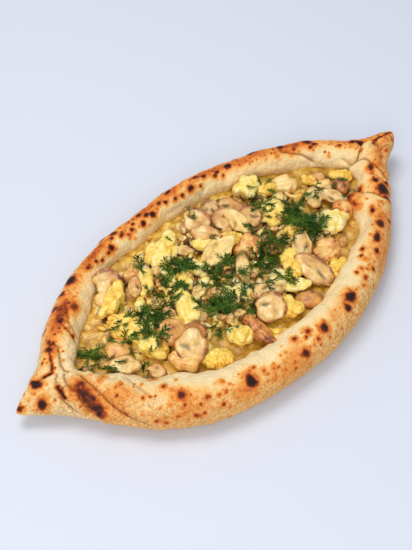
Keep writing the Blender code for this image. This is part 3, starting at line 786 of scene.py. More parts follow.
def toasted(points, t, degrees, far):
    """How baked each point is without its blisters: toasted in a band along the crest, in patches."""
    band = bell(degrees - (70 + 15 * far), 42 - 11 * far)
    patches = 0.5 + 0.5 * rough(points, 26, 3)
    spots = 0.5 + 0.5 * rough(points, 7, 9)
    low = 0.5 * smooth(100, 60, degrees) * (0.5 + 0.8 * patches) + smooth(60, 20, degrees)
    left = smooth(0.45, 0.85, -np.cos(t)) * far
    right = smooth(0.75, 0.97, np.cos(t)) * (1 - far)
    inner = smooth(105, 135, degrees)
    baked = 0.02 + 0.15 * low * (1 - 0.2 * far) + (0.03 + 0.06 * smooth(0.4, 0.75, patches)) * inner
    crest = 0.01 + 0.24 * smooth(0.35, 0.75, patches) + 0.14 * spots + 0.16 * far
    baked += band * (crest + 0.10 * left + 0.09 * right)
    return baked * (1 - 0.6 * smooth(0.86, 0.97, -np.cos(t)) * (1 - 0.5 * far))


def baked_looks(points, t, over):
    """How baked each point is, how floury, and how far the blisters stand out."""
    degrees = np.degrees(over)
    far = smooth(-0.1, 0.5, np.sin(t))
    baked = toasted(points, t, degrees, far)
    lift = np.zeros(points.shape[:-1])
    ragged = 1 + 0.26 * grain(points, 3.2, 21) + 0.12 * grain(points, 1.3, 22)
    for place, wide, tall, dark in blister_places():
        a, o = np.radians(place)
        centre = plain_roll(a, o)
        near = np.linalg.norm(points - centre, axis=-1) < 4 * max(wide, tall)
        if not near.any():
            continue
        along = plain_roll(a + 0.01, o) - plain_roll(a - 0.01, o)
        along /= np.linalg.norm(along)
        offset = points[near] - centre
        run = offset @ along
        rest = np.sqrt(np.maximum((offset ** 2).sum(-1) - run ** 2, 0))
        away = np.sqrt((run / wide) ** 2 + (rest / tall) ** 2) * ragged[near]
        baked[near] = np.maximum(baked[near], burnt(away, dark))
        lift[near] = np.maximum(lift[near], 0.16 * min(wide, 4) * bell(away, 1))
    for places, wide, dark in SCORCHES:
        away = nearest(points, plain_roll(*line_angles(places)), 6 * wide)[0] / wide * ragged
        speckled = dark * (1 + 0.35 * grain(points, 2.2, 31))
        baked = np.maximum(baked, burnt(away, speckled))
    flour = smooth(78, 35, degrees) * (1 - 0.3 * far) + 0.12
    flour += 0.5 * smooth(0.5, 0.95, -np.cos(t)) * (1 - far)
    return np.clip(baked, 0, 1), np.clip(flour, 0, 1) * smooth(0.5, 0.25, baked), lift


def make_bread(material):
    """The boat of dough, from the flat underside over the roll to the floor under the cheese."""
    even = np.arange(AROUND) * FULL_TURN / AROUND
    t = even - 0.2 * np.sin(2 * even)
    grid_over, grid_t = np.meshgrid(ROLL_ANGLES, t, indexing="ij")
    degrees = np.degrees(grid_over)
    points = plain_roll(grid_t, grid_over)
    normal = ring_normals(points)
    rise, painted_crease_shade = relief(points, grid_t, grid_over)
    baked, flour, lift = baked_looks(points, grid_t, grid_over)
    quiet = smooth(-50, -30, degrees) * smooth(180, 165, degrees)
    skin = 0.9 * rough(points, 17, 1) + 0.4 * rough(points, 4, 2)
    skin += (0.45 + 0.5 * smooth(110, 140, degrees)) * pillows(points, 13, 4)
    skin += 0.22 * pillows(points, 3, 6)
    points = points + normal * (rise + quiet * (skin - 0.25) + lift)[..., None]
    points[..., 2] = np.maximum(points[..., 2], LOWEST)
    half = station(1, t)
    low = at_height(*plan(t, BASE_EDGE * half), 0.0)
    steps = [low + (points[0] - low) * share for share in (0, 0.12, 0.45)]  # up the underside's edge
    floor = at_height(*plan(t, -half - inward(t)), FLOOR)
    rows = np.concatenate([steps, points, [floor]])
    rows[1:3, :, 2] += 0.2  # rounds that edge

    def padded(values, first, last):
        """Values for the rows over the roll, with even ones for the rows before and after them."""
        return np.concatenate([np.full((len(steps), AROUND), first), values, np.full((1, AROUND), last)])

    obj = make_mesh("bread_crust", rows.reshape(-1, 3), tube_faces(len(rows), AROUND), {
        "baked": padded(baked, 0.2, 0.1),
        "flour": padded(flour, 0.6, 0.0),
        "painted_crease_shade": padded(painted_crease_shade, 0.0, 0.0),
    })
    finish_piece(obj, material, "crust", "bread")


# ---------------------------------------------------------------- the cheese

CHEESE_COLUMNS = 420
CHEESE_ROWS = 58
CHEESE_TUCK = 2.5  # how far its edge runs into the wall
CHEESE_GAP = 0.4  # between its underside and the bread's floor


def cheese_surface(x, y):
    """Height of the cheese's real surface, clotted in the middle and puffed by the wall, and how
    clotted it is."""
    flat = np.stack([x, y, np.zeros_like(x)], -1)
    middle = smooth(0.02, 0.45, inside_share(x, y))
    clots = pillows(flat, 9, 7) * (0.6 + 0.4 * grain(flat, 17, 8)) + 0.35 * pillows(flat, 4, 9)
    ripple = 0.5 * rough(flat, 11, 6, 2)
    bent_flat = flat + 2.5 * rough(flat, 9, 5, 2)[..., None]
    puffed = (1.5 * pillows(bent_flat, 11, 12) + 0.5 * pillows(bent_flat, 5.5, 13)) * (1 - 0.7 * middle)
    height = cheese_height(x, y) + middle * (1.6 * clots - 0.4) + ripple + puffed
    return height, clots * middle + 0.15 * puffed


def make_cheese(material):
    """The cheese from wall to wall, with its underside a little above the bread's floor."""
    t = np.arange(CHEESE_COLUMNS) * FULL_TURN / CHEESE_COLUMNS
    x, y = plan(t, -station(1, t) - inward(t) + CHEESE_TUCK)
    shares = 1 - 0.98 * np.linspace(0, 1, CHEESE_ROWS) ** 1.2  # of the way out, closer by the wall
    ring_x = OVAL_CENTRE[0] + (x - OVAL_CENTRE[0]) * shares[:, None]
    ring_y = OVAL_CENTRE[1] + (y - OVAL_CENTRE[1]) * shares[:, None]
    height, clots = cheese_surface(ring_x, ring_y)
    height += 0.9 * smooth(0.97, 1, shares)[:, None]  # drawn up the wall
    rows = np.concatenate([[at_height(x, y, FLOOR + CHEESE_GAP)], np.stack([ring_x, ring_y, height], -1)])
    clots = np.concatenate([np.zeros((1, CHEESE_COLUMNS)), clots])
    faces = tube_faces(len(rows), CHEESE_COLUMNS)
    obj = make_mesh("cheese_melt", rows.reshape(-1, 3), faces, {"clot": clots})
    finish_piece(obj, material, "cheese", "cheese")


# ---------------------------------------------------------------- pieces in the filling

CAP_SHARE = 0.64  # the cap's part of a cut mushroom's length
DIM_SIDE = 2.0  # the heading away from the light, less the cap's own quarter turn
UNDER_CAP = ((-0.43, -0.12), (-0.28, -0.2), (-0.24, -1.0), (0.24, -1.0), (0.28, -0.2), (0.43, -0.12))
HOLLOW_ROUNDS = 7  # of smoothing a skin, to tell how deep each point of it lies
LEAN_AXIS = Matrix.Rotation(math.radians(VIEWER + 90), 3, "Z") @ Vector((1, 0, 0))


def laid(points, place, height, spin, lean=0):
    """Points spun in their own plane, leaning towards the viewer, about a place at that height."""
    turn = Matrix.Rotation(math.radians(lean), 3, LEAN_AXIS) @ Matrix.Rotation(math.radians(spin), 3, "Z")
    return points @ np.array(turn).T + (*place, height)


def cap_curve(width, length, count, roundness):
    """The outline of a champignon cut lengthwise, as evenly spaced points of a rounded curve."""
    cap = CAP_SHARE * length
    dome = [(math.cos(a) * width / 2, math.sin(a) * cap) for a in np.linspace(0, math.pi, 13)]
    stem = length - cap
    corners = np.array(dome + [(x * width, y * stem) for x, y in UNDER_CAP])
    corners[:, 1] -= (cap - stem) / 2
    for _ in range(3):  # each round cuts every corner
        after = np.roll(corners, -1, 0)
        corners = np.stack([0.75 * corners + 0.25 * after, 0.25 * corners + 0.75 * after], 1).reshape(-1, 2)
    steps = np.linalg.norm(np.roll(corners, -1, 0) - corners, axis=1)
    run = np.concatenate([[0], np.cumsum(steps)])
    closed = np.vstack([corners, corners[:1]])
    wanted = np.arange(count) * run[-1] / count
    curve = np.stack([np.interp(wanted, run, closed[:, k]) for k in (0, 1)], -1)
    size = (width / 2, length / 2)
    out = curve / size
    oval = out / np.linalg.norm(out, axis=1, keepdims=True) * size
    return curve + (oval - curve) * roundness


def slice_rows(kind, width, length, thick, count, inner, side):
    """Rows of points from the middle of a cut face round its edge to its back. Each point is its
    place, how much of it is skin, and how near the rim it lies."""
    outline = cap_curve(width, length, count, 0.15 if kind == "slice" else 0.4)
    middle = np.array((0.0, -0.04 * length))
    edge = 0.5 * thick
    thin = 0.9 if kind == "slice" else 0.45
    rows = []

    def add(share, height, skin, reached):
        """A row along the outline, shrunk towards the middle to that share."""
        flat = middle + (outline - middle) * share
        rows.append(np.column_stack([flat, np.tile((height, skin, reached), (count, 1))]))

    for share in np.linspace(0.04, 1, inner) ** 0.6:
        sag = min(0.8, 0.1 * thick) * smooth(0.9, 1.0, share) ** 2
        add(share, edge - sag, 0.7 * smooth(0.9, 0.99, share), share)
    top = rows[-1][0, 2]
    for angle in math.pi * np.arange(1, side + 1) / (side + 1):
        slanted = thin + (1.03 - thin) * (1 + math.cos(angle)) / 2
        domed = max(thin, math.cos(angle / 2) ** 0.8)
        add(slanted if kind == "slice" else domed, top - (top + edge) * (1 - math.cos(angle)) / 2, 1, 1)
    for share in (0.7, 0.4, 0.05):
        add(thin * share, -edge, kind != "slice", 0)
    return np.array(rows)


def mushroom_slice(kind, width, length, thick, brown, coat, heading, seed, count=96, inner=14, side=9):
    """A slice or half of a mushroom: points, faces and looks, its cut face towards +Z."""
    rows = slice_rows(kind, width, length, thick, count, inner, side)
    table = rows.reshape(-1, 5)
    points, skin, reached = table[:, :3], table[:, 3], table[:, 4]
    x, y, z = points.T
    shift = seed * np.array((13.7, 5.1, 3.3))
    cap_foot = (0.5 - CAP_SHARE) * length
    on_cap = smooth(cap_foot - 0.05 * length, cap_foot + 0.08 * length, y)
    skin = skin * (0.3 + 0.7 * on_cap)
    on_face = (1 - skin) * (z > 0)
    across = np.abs(x) / (0.5 * width)

    # the browned rim, with painted shade that makes it wider and stronger on the side away from the light
    dim = math.radians(DIM_SIDE - heading)
    painted_shade_side = np.clip((x * math.cos(dim) / width + y * math.sin(dim) / length) * 2, 0, 1)
    toward = np.maximum(painted_shade_side, np.clip(2 * y / length, 0, 1)) * (0.75 + 0.25 * math.sin(2.4 * seed))
    band = 1 - (0.1 + 0.3 * toward) + 0.08 * grain(points + 7.1 * seed, 4)
    browned_rim_and_painted_shade = smooth(band - 0.03, band + 0.12, reached) * (0.5 + 0.5 * np.maximum(on_cap, painted_shade_side))

    # the gills: a dark crescent under the cap, deeper on one side of the stem
    line = cap_foot + (0.04 + 0.2 * (1 - across) ** 2) * length
    gill = bell(y - line, 0.06 * length) * smooth(0.05, 0.2, across) * smooth(0.85, 0.35, across)
    gill = gill * on_face * np.where((x > 0) == (seed % 2 > 0), 1.0, 0.22)

    # the relief: wavy outline and faces, a raised stem and lobes, sunken gills
    push = 0.065 * (width + 5) * rough(points * (1, 1, 0.4) + shift, 0.45 * width, 2, 2)
    push = push * smooth(0.3, 0.8, across + np.abs(y) / length)
    stem = np.clip(1 - (across / 0.5) ** 2, 0, 1) * smooth(cap_foot + 0.16 * length, cap_foot, y) * on_face
    lobe = bell(across - 0.72, 0.2) * on_cap * on_face
    curl = 0.02 * x ** 2 * grain(shift[None], 1, 3)[0]
    wave = 0.6 * rough(points + shift, 8, 1) + 0.25 * rough(points + shift, 2.5, 4)
    flat = points * (1, 1, 0)
    points = points + flat / (np.linalg.norm(flat, axis=1, keepdims=True) + 1e-6) * push[:, None]
    points[:, 2] += wave + curl - 1.8 * gill + 1.4 * stem + 0.9 * lobe

    outer = np.clip(np.linalg.norm(points[:, :2] / (0.5 * width, 0.5 * length), axis=1), 0, 1) ** 3
    seared = np.clip(brown + 0.4 * rough(points + shift, 8, 5) + 0.45 * outer, 0, 1)
    seared *= 0.55 + 0.45 * np.maximum(skin, smooth(0.2, 0.6, brown))
    looks = {"skin": skin, "browned_rim_and_painted_shade": browned_rim_and_painted_shade, "gill": gill, "seared": seared, "coat": coat}
    return points, tube_faces(len(rows), count, turn=True), looks


def ball(segments, rings):
    """Points of a ball of radius 1 whose poles lie on X, and its faces."""
    u = np.linspace(0.02, math.pi - 0.02, rings)[:, None]
    v = np.arange(segments)[None] * FULL_TURN / segments
    points = np.stack([np.cos(u) + 0 * v, np.sin(u) * np.cos(v), np.sin(u) * np.sin(v)], -1)
    return points.reshape(-1, 3), tube_faces(rings, segments, turn=True)


def mushroom_cap(width, length, thick, brown, coat, seed):
    """A whole small mushroom cap: brown skin, slightly wrinkled."""
    points, faces = ball(56, 36)
    shift = seed * np.array((11.3, 4.7, 2.9))
    points = points * (length / 2, width / 2, thick / 2)
    normal = points / np.linalg.norm(points, axis=1, keepdims=True)
    bumps = 1.0 * rough(points + shift, 9, 2) + 0.55 * rough(points + shift, 3.2, 3)
    points = points + normal * bumps[:, None]
    seared = np.clip(brown + 0.4 * rough(points + shift, 7, 4), 0, 1)
    return points, faces, {"skin": 1, "browned_rim_and_painted_shade": 0, "gill": 0, "seared": seared, "coat": coat}


def bent(points, length, bend):
    """Points bent along X by that many degrees over their length."""
    turn = np.radians(bend) * points[:, 0] / length
    x = points[:, 0] * np.cos(turn / 2) - points[:, 1] * np.sin(turn)
    y = points[:, 1] + points[:, 0] * np.sin(turn / 2)
    return np.column_stack([x, y, points[:, 2]])


def surface_shape(points, quads, rounds):
    """Normals, and how far each point lies below the surface smoothed so many times, in mm."""
    corners = quads.ravel()
    count = np.bincount(corners, minlength=len(points))[:, None]

    def gathered(values):
        """For each point, the sum of what is given for the squares round it."""
        sums = [np.bincount(corners, np.repeat(values[:, k], 4), len(points)) for k in range(3)]
        return np.stack(sums, -1)

    a, b, c, d = points[quads].transpose(1, 0, 2)
    normal = gathered(np.cross(c - a, d - b))
    normal /= np.linalg.norm(normal, axis=1, keepdims=True) + 1e-9
    around = points
    for _ in range(rounds):
        around = gathered(around[quads].mean(1)) / count
    return normal, ((around - points) * normal).sum(1)


def fitted(points, size):
    """Points moved and stretched to fill a box round the origin."""
    low, high = points.min(0), points.max(0)
    return (points - (low + high) / 2) * (np.array(size) / (high - low))


def lump(rng, size, power, tilt, segments, rings):
    """A body of that half size, squarer the lower its power, tilted at random."""
    points, faces = ball(segments, rings)
    spin = Matrix.Rotation(rng.normal(0, tilt), 3, Vector(rng.normal(size=3)))
    return (np.sign(points) * np.abs(points) ** power * size) @ np.array(spin).T, faces


def egg_curd(length, width, height, bend, pale, crumbly, seed):
    """A curd of egg: a few torn bodies run together, with soft dents and folds."""
    rng = np.random.default_rng(100 + seed)
    clay = Bodies()
    count = int(4 + length * width / 120)
    for k in range(count):
        along = ((k + 0.5) / count * 2 - 1) * 0.7
        ring = k * 2.4 + rng.uniform(-0.6, 0.6)
        reach = 0.5 * math.sqrt(1 - along ** 2)
        across = (math.cos(ring) * reach * width, math.sin(ring) * reach * height)
        centre = np.array((along * length, *across)) / 2
        size = np.array((0.26 * length, 0.34 * width, 0.34 * height)) * rng.uniform(0.7, 1.3, 3)
        points, faces = lump(rng, size, 0.6, 0.8, 28, 20)
        clay.add(points + centre, faces, {})
    points, quads = clay.skin(0.72, 1)
    shift = seed * np.array((9.1, 3.7, 6.3))
    normal = surface_shape(points, quads, 0)[0]
    warped = points + shift + 2.5 * rough(points + shift, 7, seed + 5, 2)[:, None]
    soft = 1.4 * rough(points + shift, 9, seed, 2) + 1.6 * folds(warped, 12, seed + 1)
    soft += 0.6 * rough(points + shift, 4, seed + 3, 2) + 0.25 * folds(warped, 5, seed + 2)
    crumbs = 1.2 * pillows(warped, 4.2, seed) + 0.6 * folds(warped, 3.6, seed + 1)
    points = points + normal * (soft * (1 - 0.7 * crumbly) + crumbly * crumbs)[:, None]
    points = fitted(points, (length, width, height))
    normal, hollow = surface_shape(points, quads, HOLLOW_ROUNDS)
    points = points + normal * (0.35 * rough(points + shift, 2.2, seed, 2))[:, None]
    # painted shade deepens the yellow in the hollows, and painted light makes the ridges paler
    tone = pale - 0.03 - 0.6 * (1 - 0.2 * crumbly) * np.clip(hollow, -0.4, 0.9)
    tone += 0.2 * rough(points + shift, 9, 7)
    return bent(points, length, bend), quads.tolist(), {"pale": np.clip(tone, 0, 1)}


def chicken_chunk(length, width, height, bend, brown, coat, seed):
    """A chunk of fried chicken: torn blocks run together, browned along the edges."""
    rng = np.random.default_rng(300 + seed)
    clay = Bodies()
    for _ in range(3):
        size = np.array((length, width, height)) * rng.uniform(0.3, 0.42, 3)
        points, faces = lump(rng, size, 0.4, 0.35, 32, 24)
        centre = rng.uniform(-0.16, 0.16, 3) * (1.6 * length, width, height)
        clay.add(points + centre, faces, {})
    points, quads = clay.skin(0.7, 1)
    points = fitted(points, (0.97 * length, 0.97 * width, 0.97 * height))
    shift = seed * np.array((8.3, 6.1, 2.7))
    normal = surface_shape(points, quads, 0)[0]
    fibres = pillows((points + shift) * (0.25, 1, 1), 2.2, seed)
    points = points + normal * (0.9 * rough(points + shift, 7, seed) + 0.35 * fibres - 0.25)[:, None]
    hollow = surface_shape(points, quads, HOLLOW_ROUNDS)[1]
    seared = brown - 0.15 + 0.4 * rough(points + shift, 6, seed + 5) + 0.7 * np.clip(-hollow, -0.1, 0.6)
    return bent(points, length, bend), quads.tolist(), {"seared": np.clip(seared, 0, 1), "coat": coat}


def shaped(shape, row, seed):
    """The points, faces and looks of the curd or chunk that a row describes, in its place."""
    place, lift, length, width, height, heading, bend, tone, extra = row
    points, faces, looks = shape(length, width, height, bend, tone, extra, seed)
    return laid(points, place, cheese_height(*place) + lift, heading), faces, looks


def make_toppings(materials):
    """Every mushroom, curd and chunk, each in the place of its solid. Returns their points."""
    clouds = []

    def put(prefix, look, number, points, faces, looks):
        """Makes the piece that stands for the node of that look and number."""
        node = f"{look}_{number:02d}"
        finish_piece(make_mesh(prefix + node, points, faces, looks), materials[look], look, node)
        clouds.append(points)

    for order, (kind, place, lift, width, length, thick, heading, lean, brown, coat) in enumerate(MUSHROOMS):
        if kind == "cap":
            points, faces, looks = mushroom_cap(width, length, thick, brown, coat, order)
        else:
            points, faces, looks = mushroom_slice(kind, width, length, thick, brown, coat, heading, order)
        points = laid(points, place, cheese_height(*place) + lift, heading - 90, lean)
        put("cut_", "mushroom", order + 1, points, faces, looks)
    for order, row in enumerate(EGGS):
        put("fried_", "egg", order + 1, *shaped(egg_curd, row, order))
    for order, row in enumerate(CHICKENS):
        put("fried_", "chicken", order + 1, *shaped(chicken_chunk, row, len(EGGS) + order))
    return np.concatenate(clouds)


def make_loose_curds(material):
    """The smaller curds that lie between the larger ones, as one mesh."""
    curds = Bodies()
    for order, row in enumerate(LOOSE_CURDS):
        curds.add(*shaped(egg_curd, row, 60 + order))
    return curds.make("loose_curds", material, "egg")


BED_LUMPS = 380
SHREDS = 300
BED_REACH = (122, 62)  # half the length and width of the oval that they are strewn over


def strewn_place(rng, reach):
    """A random place in an oval round the middle of the hollow, all of it equally likely."""
    share, turn = math.sqrt(rng.random()), rng.uniform(0, FULL_TURN)
    return (OVAL_CENTRE[0] + reach[0] * share * math.cos(turn),
            OVAL_CENTRE[1] + reach[1] * share * math.sin(turn))


def bed_lump(rng, inside):
    """A soft lump of the bed: its half size, its bend and how high it lies above the cheese."""
    thin = rng.uniform(2.0, 4.2)
    size = (rng.uniform(1.2, 2.2) * thin, thin * rng.uniform(0.9, 1.5), 0.75 * thin)
    return size, 0, rng.uniform(-1.5, 1.4 * smooth(0.2, 0.7, inside))


def bed_shred(rng, inside):
    """A torn shred on top of the lumps, given in the same way."""
    size = (rng.uniform(3, 7.5), rng.uniform(1.1, 2.0), rng.uniform(0.9, 1.4))
    return size, rng.normal(0, 60), rng.uniform(0.8, 1.5 + 3.0 * smooth(0.2, 0.7, inside))


def make_bed(material):
    """The soft lumps and torn shreds that fill the hollow between the larger pieces, as one skin."""
    rng = np.random.default_rng(21)
    clay = Bodies()
    for order in range(BED_LUMPS + SHREDS):
        shape, thinned = (bed_lump, (0.16, 0.48)) if order < BED_LUMPS else (bed_shred, (0.25, 0.5))
        place = strewn_place(rng, BED_REACH)
        inside = float(inside_share(*place))
        if rng.random() > smooth(*thinned, inside):  # fewer of them near the wall
            continue
        level = Matrix.Rotation(rng.uniform(0, FULL_TURN), 3, "Z")
        spin = np.array(level @ Matrix.Rotation(rng.normal(0, 0.25), 3, "Y"))
        size, bend, lift = shape(rng, inside)
        points, faces = ball(16, 12)
        points = bent(points * size, 2 * size[0], bend)
        clay.add(points @ spin.T + (*place, cheese_height(*place) + lift), faces, {})
    points, quads = clay.skin(0.85, 2)
    normal = surface_shape(points, quads, 0)[0]
    points = points + normal * (0.9 * rough(points, 6, 2, 2) + 0.3 * rough(points, 1.8, 3))[:, None]
    hollow = surface_shape(points, quads, HOLLOW_ROUNDS)[1]
    edge = smooth(0.5, 0.15, inside_share(points[:, 0], points[:, 1]))
    # darker in the hollows between the lumps as painted shade, paler on their tops as painted light
    pale = 0.52 - 0.3 * edge - 0.6 * np.clip(hollow, -0.4, 0.9)
    pale += 0.45 * rough(points, 14, 8) + 0.45 * rough(points, 6, 9, 2)
    obj = make_mesh("small_curds", points, quads.tolist(), {"pale": np.clip(pale, 0, 1)})
    finish_piece(obj, material, "egg")
    return points


# ---------------------------------------------------------------- what is strewn on top

FILLINGS = ("cheese", "egg", "mushroom", "chicken", "filling")
CELL = 0.8  # of the map of heights, in mm
MAP_LOW = np.array((-160.0, -90.0))  # its corner
MAP_SIZE = np.array((400, 225))  # in cells


def height_map(*clouds):
    """The highest surface over each small square of the filling."""
    index = [np.arange(size) * CELL + low for size, low in zip(MAP_SIZE, MAP_LOW)]
    heights = cheese_surface(*np.meshgrid(*index, indexing="ij"))[0]
    for points in clouds:
        cell = ((points[:, :2] - MAP_LOW) / CELL + 0.5).astype(int)
        np.maximum.at(heights, (cell[:, 0], cell[:, 1]), points[:, 2])
    return heights


def top_at(heights, x, y):
    """Height of the filling's surface at places in mm."""
    cell = np.rint((np.stack([x, y], -1) - MAP_LOW) / CELL).astype(int)
    i, j = np.moveaxis(np.clip(cell, 0, MAP_SIZE - 1), -1, 0)
    return heights[i, j]


def paint_gap_shade(heights):
    """Paints shade into the filling: stores how far each point lies below what is round it, which its
    material darkens as painted shade.
    """
    shifts = list(itertools.product(range(-6, 7, 2), repeat=2))  # in cells of the map
    around = sum(np.roll(heights, shift, (0, 1)) for shift in shifts) / len(shifts)
    for obj in bpy.data.objects:
        if obj.type == "MESH" and obj.data.materials and obj.data.materials[0].name in FILLINGS:
            x, y, z = mesh_points(obj.data).T
            store(obj.data, "painted_gap_shade", smooth(0.2, 4.5, top_at(around, x, y) - z))


def needle(path, thick):
    """A tapering blade with three sides along a path."""
    path = np.asarray(path)
    run = np.gradient(path, axis=0)
    run /= np.linalg.norm(run, axis=1, keepdims=True) + 1e-9
    side = np.cross(run, (0.1, 0.2, 1.0))
    side /= np.linalg.norm(side, axis=1, keepdims=True) + 1e-9
    up = np.cross(side, run)
    taper = np.linspace(1, 0.45, len(path))[:, None] * thick / 2
    rows = [path + (math.cos(a) * side + math.sin(a) * up) * taper for a in (0.5, 2.6, 4.7)]
    return np.stack(rows, 1).reshape(-1, 3), tube_faces(len(path), 3, turn=True)


# Heaps of dill: place, half width and half length, heading of the length, sprigs, height of the heap.
DILL_HEAPS = (
    ((64, -3), 8, 13, 92, 104, 5.0), ((69, 13), 4, 5, 0, 12, 2.5), ((65, 42), 3, 4, 0, 5, 1.0),
    ((55, 31), 4, 4, 0, 9, 1.5), ((46, 22), 3, 4, 0, 7, 1.0), ((30, 13), 3, 5, 0, 6, 1.0),
    ((38, 1), 3, 7, -43, 16, 1.5), ((45, -11), 3, 4, 0, 4, 1.0), ((20, -8), 5, 8, 20, 24, 2.0),
    ((11, -7), 4, 5, 0, 8, 1.0), ((4, -23), 3, 4, 0, 6, 1.0), ((17, -29), 4, 4, 0, 10, 1.5),
    ((-5, 1), 4, 7, 47, 14, 1.5), ((-17, 6), 6, 8, 0, 18, 1.5), ((-22, -4), 5, 6, 0, 10, 1.5),
    ((-31, -18), 5, 6, 0, 42, 3.5), ((-40, -28), 3, 4, -60, 8, 1.5), ((-17, -27), 3, 7, 2, 12, 1.5),
    ((-30, 27), 5, 9, -30, 40, 3.0), ((-41, 19), 3, 6, -43, 8, 1.0), ((-42, 4), 4, 6, -43, 10, 1.0),
    ((-46, -9), 3, 4, 0, 4, 1.0), ((-53, 16), 3, 4, 0, 7, 1.0), ((-63, 8), 3, 5, 47, 10, 1.0),
    ((-73, 9), 4, 8, -20, 22, 2.0), ((-82, -1), 3, 5, 47, 10, 1.5), ((-85, -8), 5, 5, 0, 14, 1.5),
    ((-89, 15), 3, 5, 47, 6, 1.0), ((-100, 3), 3, 4, -43, 8, 1.0), ((-121, 14), 4, 5, 0, 20, 2.0),
    ((-117, 1), 3, 4, 0, 6, 1.0), ((-103, -23), 3, 5, -43, 8, 1.0), ((-54, 41), 2, 6, 50, 5, 1.0),
    ((39, 52), 2, 3, 0, 3, 1.0), ((90, 14), 4, 6, 0, 6, 1.0), ((112, 10), 3, 3, 0, 3, 1.0),
    ((108, -8), 3, 3, 0, 3, 1.0),
)
CUT_STEMS = (  # short cut stems: place, heading, length
    (-81.5, 29.0, 60, 6), (-85.5, 18.0, 40, 7), (-79.6, 15.4, -20, 6), (-39.3, 26.6, 10, 7),
    (-52.0, 18.3, 95, 5), (-46.0, 22.0, 70, 5), (-24.0, 27.0, 30, 5), (-63.0, 12.0, 120, 5),
)
LOOSE_SPRIGS = 26
SPRIGS_REACH = (95.04, 47.52)  # half the length and width of the oval that they are strewn over
NEEDLE, STALK, CUT_STEM = 0.64, 0.95, 1.9  # thickness of each


def turned(vector, angle):
    """A level vector turned by an angle, its rise kept."""
    c, s = math.cos(angle), math.sin(angle)
    return np.array((c * vector[0] - s * vector[1], s * vector[0] + c * vector[1], vector[2]))


def sprig(rng, start, heading, length, heights, lift, herb):
    """One sprig of dill: a bowed stalk whose pairs of leaves fork into needles."""
    # the sprig's own tone, raised with its height in the heap: painted light on top, painted shade below
    shade = 0.9 * rng.uniform(0.05, 0.85) + 0.06 * lift
    joints = 4 if length > 6 else 3
    steps = np.linspace(0, 1, joints + 1)
    direction = heading + rng.normal(0, 0.6) * steps
    stalk = np.zeros((joints + 1, 3))
    stalk[:, 0] = start[0] + np.cumsum(np.cos(direction)) * length / joints
    stalk[:, 1] = start[1] + np.cumsum(np.sin(direction)) * length / joints
    ground = top_at(heights, stalk[:, 0], stalk[:, 1])
    stalk[:, 2] = np.maximum(ground, ground.mean()) + 0.4 + lift + rng.uniform(0, 1.6) * steps
    herb.add(*needle(stalk, STALK), {"shade": shade * 0.7 + 0.3})
    for k in range(1, joints + 1):
        for side in (-1, 1):
            reach = length * rng.uniform(0.36, 0.6)
            out = np.array((math.cos(direction[k]), math.sin(direction[k]), rng.uniform(-0.1, 0.45)))
            out = turned(out, side * rng.uniform(0.35, 0.85))
            fork = stalk[k] + 0.4 * reach * out
            for share in (-0.32, 0.0, 0.32)[rng.integers(2):]:
                tip = fork + reach * rng.uniform(0.45, 0.8) * turned(out, share + rng.normal(0, 0.12))
                tip[2] = max(tip[2], float(top_at(heights, tip[0], tip[1])) + 0.2)
                foot = stalk[k] if share == 0 else fork
                path = [foot, (foot + tip) / 2 + (0, 0, 0.15), tip]
                herb.add(*needle(path, NEEDLE), {"shade": shade})


def make_dill(heights, material):
    """Heaps of chopped dill and loose sprigs between them."""
    rng = np.random.default_rng(5)
    herb = Bodies()
    for (x, y), half_wide, half_long, heading, count, heap in DILL_HEAPS:
        turn = math.radians(heading)
        for _ in range(count):
            a, b = rng.normal(0, 0.5, 2)
            px = x + a * half_long * math.cos(turn) - b * half_wide * math.sin(turn)
            py = y + a * half_long * math.sin(turn) + b * half_wide * math.cos(turn)
            centre = max(0, 1 - math.hypot(a, b))
            lift = heap * centre * rng.random()
            sprig(rng, (px, py), rng.uniform(0, FULL_TURN), rng.uniform(3.5, 7.5), heights, lift, herb)
    for _ in range(LOOSE_SPRIGS):
        x, y = strewn_place(rng, SPRIGS_REACH)
        sprig(rng, (x, y - 2), rng.uniform(0, FULL_TURN), rng.uniform(3.5, 6.5), heights, 0, herb)
    for x, y, heading, long in CUT_STEMS:
        half = 0.5 * long * np.array((math.cos(math.radians(heading)), math.sin(math.radians(heading)), 0.1))
        middle = np.array((x, y, float(top_at(heights, x, y)) + 0.9))
        path = [middle - half, middle, middle + half]
        herb.add(*needle(path, CUT_STEM), {"shade": rng.uniform(0.85, 1.0)})
    herb.make("chopped_dill", material, "egg")


# Small pieces: kind, place, width, length, thickness, heading, lean, how browned, how much egg clings.
SMALL_PIECES = (
    ("slice", (-16.5, 37.0), 8, 14, 4, 130, 30, 0.1, 0.5),
    ("slice", (67.5, -22.0), 8, 14, 4, 60, 35, 0.2, 0.2),
    ("half", (-60.5, 3.0), 9, 12, 5, 100, 30, 0.2, 0.2),
    ("slice", (-45.5, -13.0), 9, 12, 4, 20, 30, 0.3, 0.2),
    ("slice", (2.5, -23.0), 8, 14, 4, 80, 30, 0.2, 0.3),
    ("half", (-47.5, 27.0), 7, 8, 5, 0, 30, 0.5, 0.0),
    ("half", (113.5, -5.0), 8, 10, 5, 60, 30, 0.3, 0.2),
    ("slice", (0.5, 54.0), 8, 10, 4, 30, 40, 0.4, 0.0),
    ("half", (-96.5, -24.0), 10, 14, 6, -60, 25, 0.5, 0.1),
    ("slice", (-36.0, 2.0), 8, 11, 4, 200, 30, 0.1, 0.4),
    ("half", (-25.0, -5.0), 7, 9, 5, 150, 30, 0.4, 0.1),
    ("slice", (-42.0, 38.0), 7, 10, 4, 70, 30, 0.2, 0.3),
    ("slice", (70.0, 28.0), 8, 10, 4, 10, 30, 0.3, 0.2),
    ("half", (76.0, -30.0), 7, 9, 5, 40, 30, 0.5, 0.1),
)
LOOSE_BITS = 64
BITS_REACH = (94.6, 46.44)  # half the length and width of the oval that they are strewn over


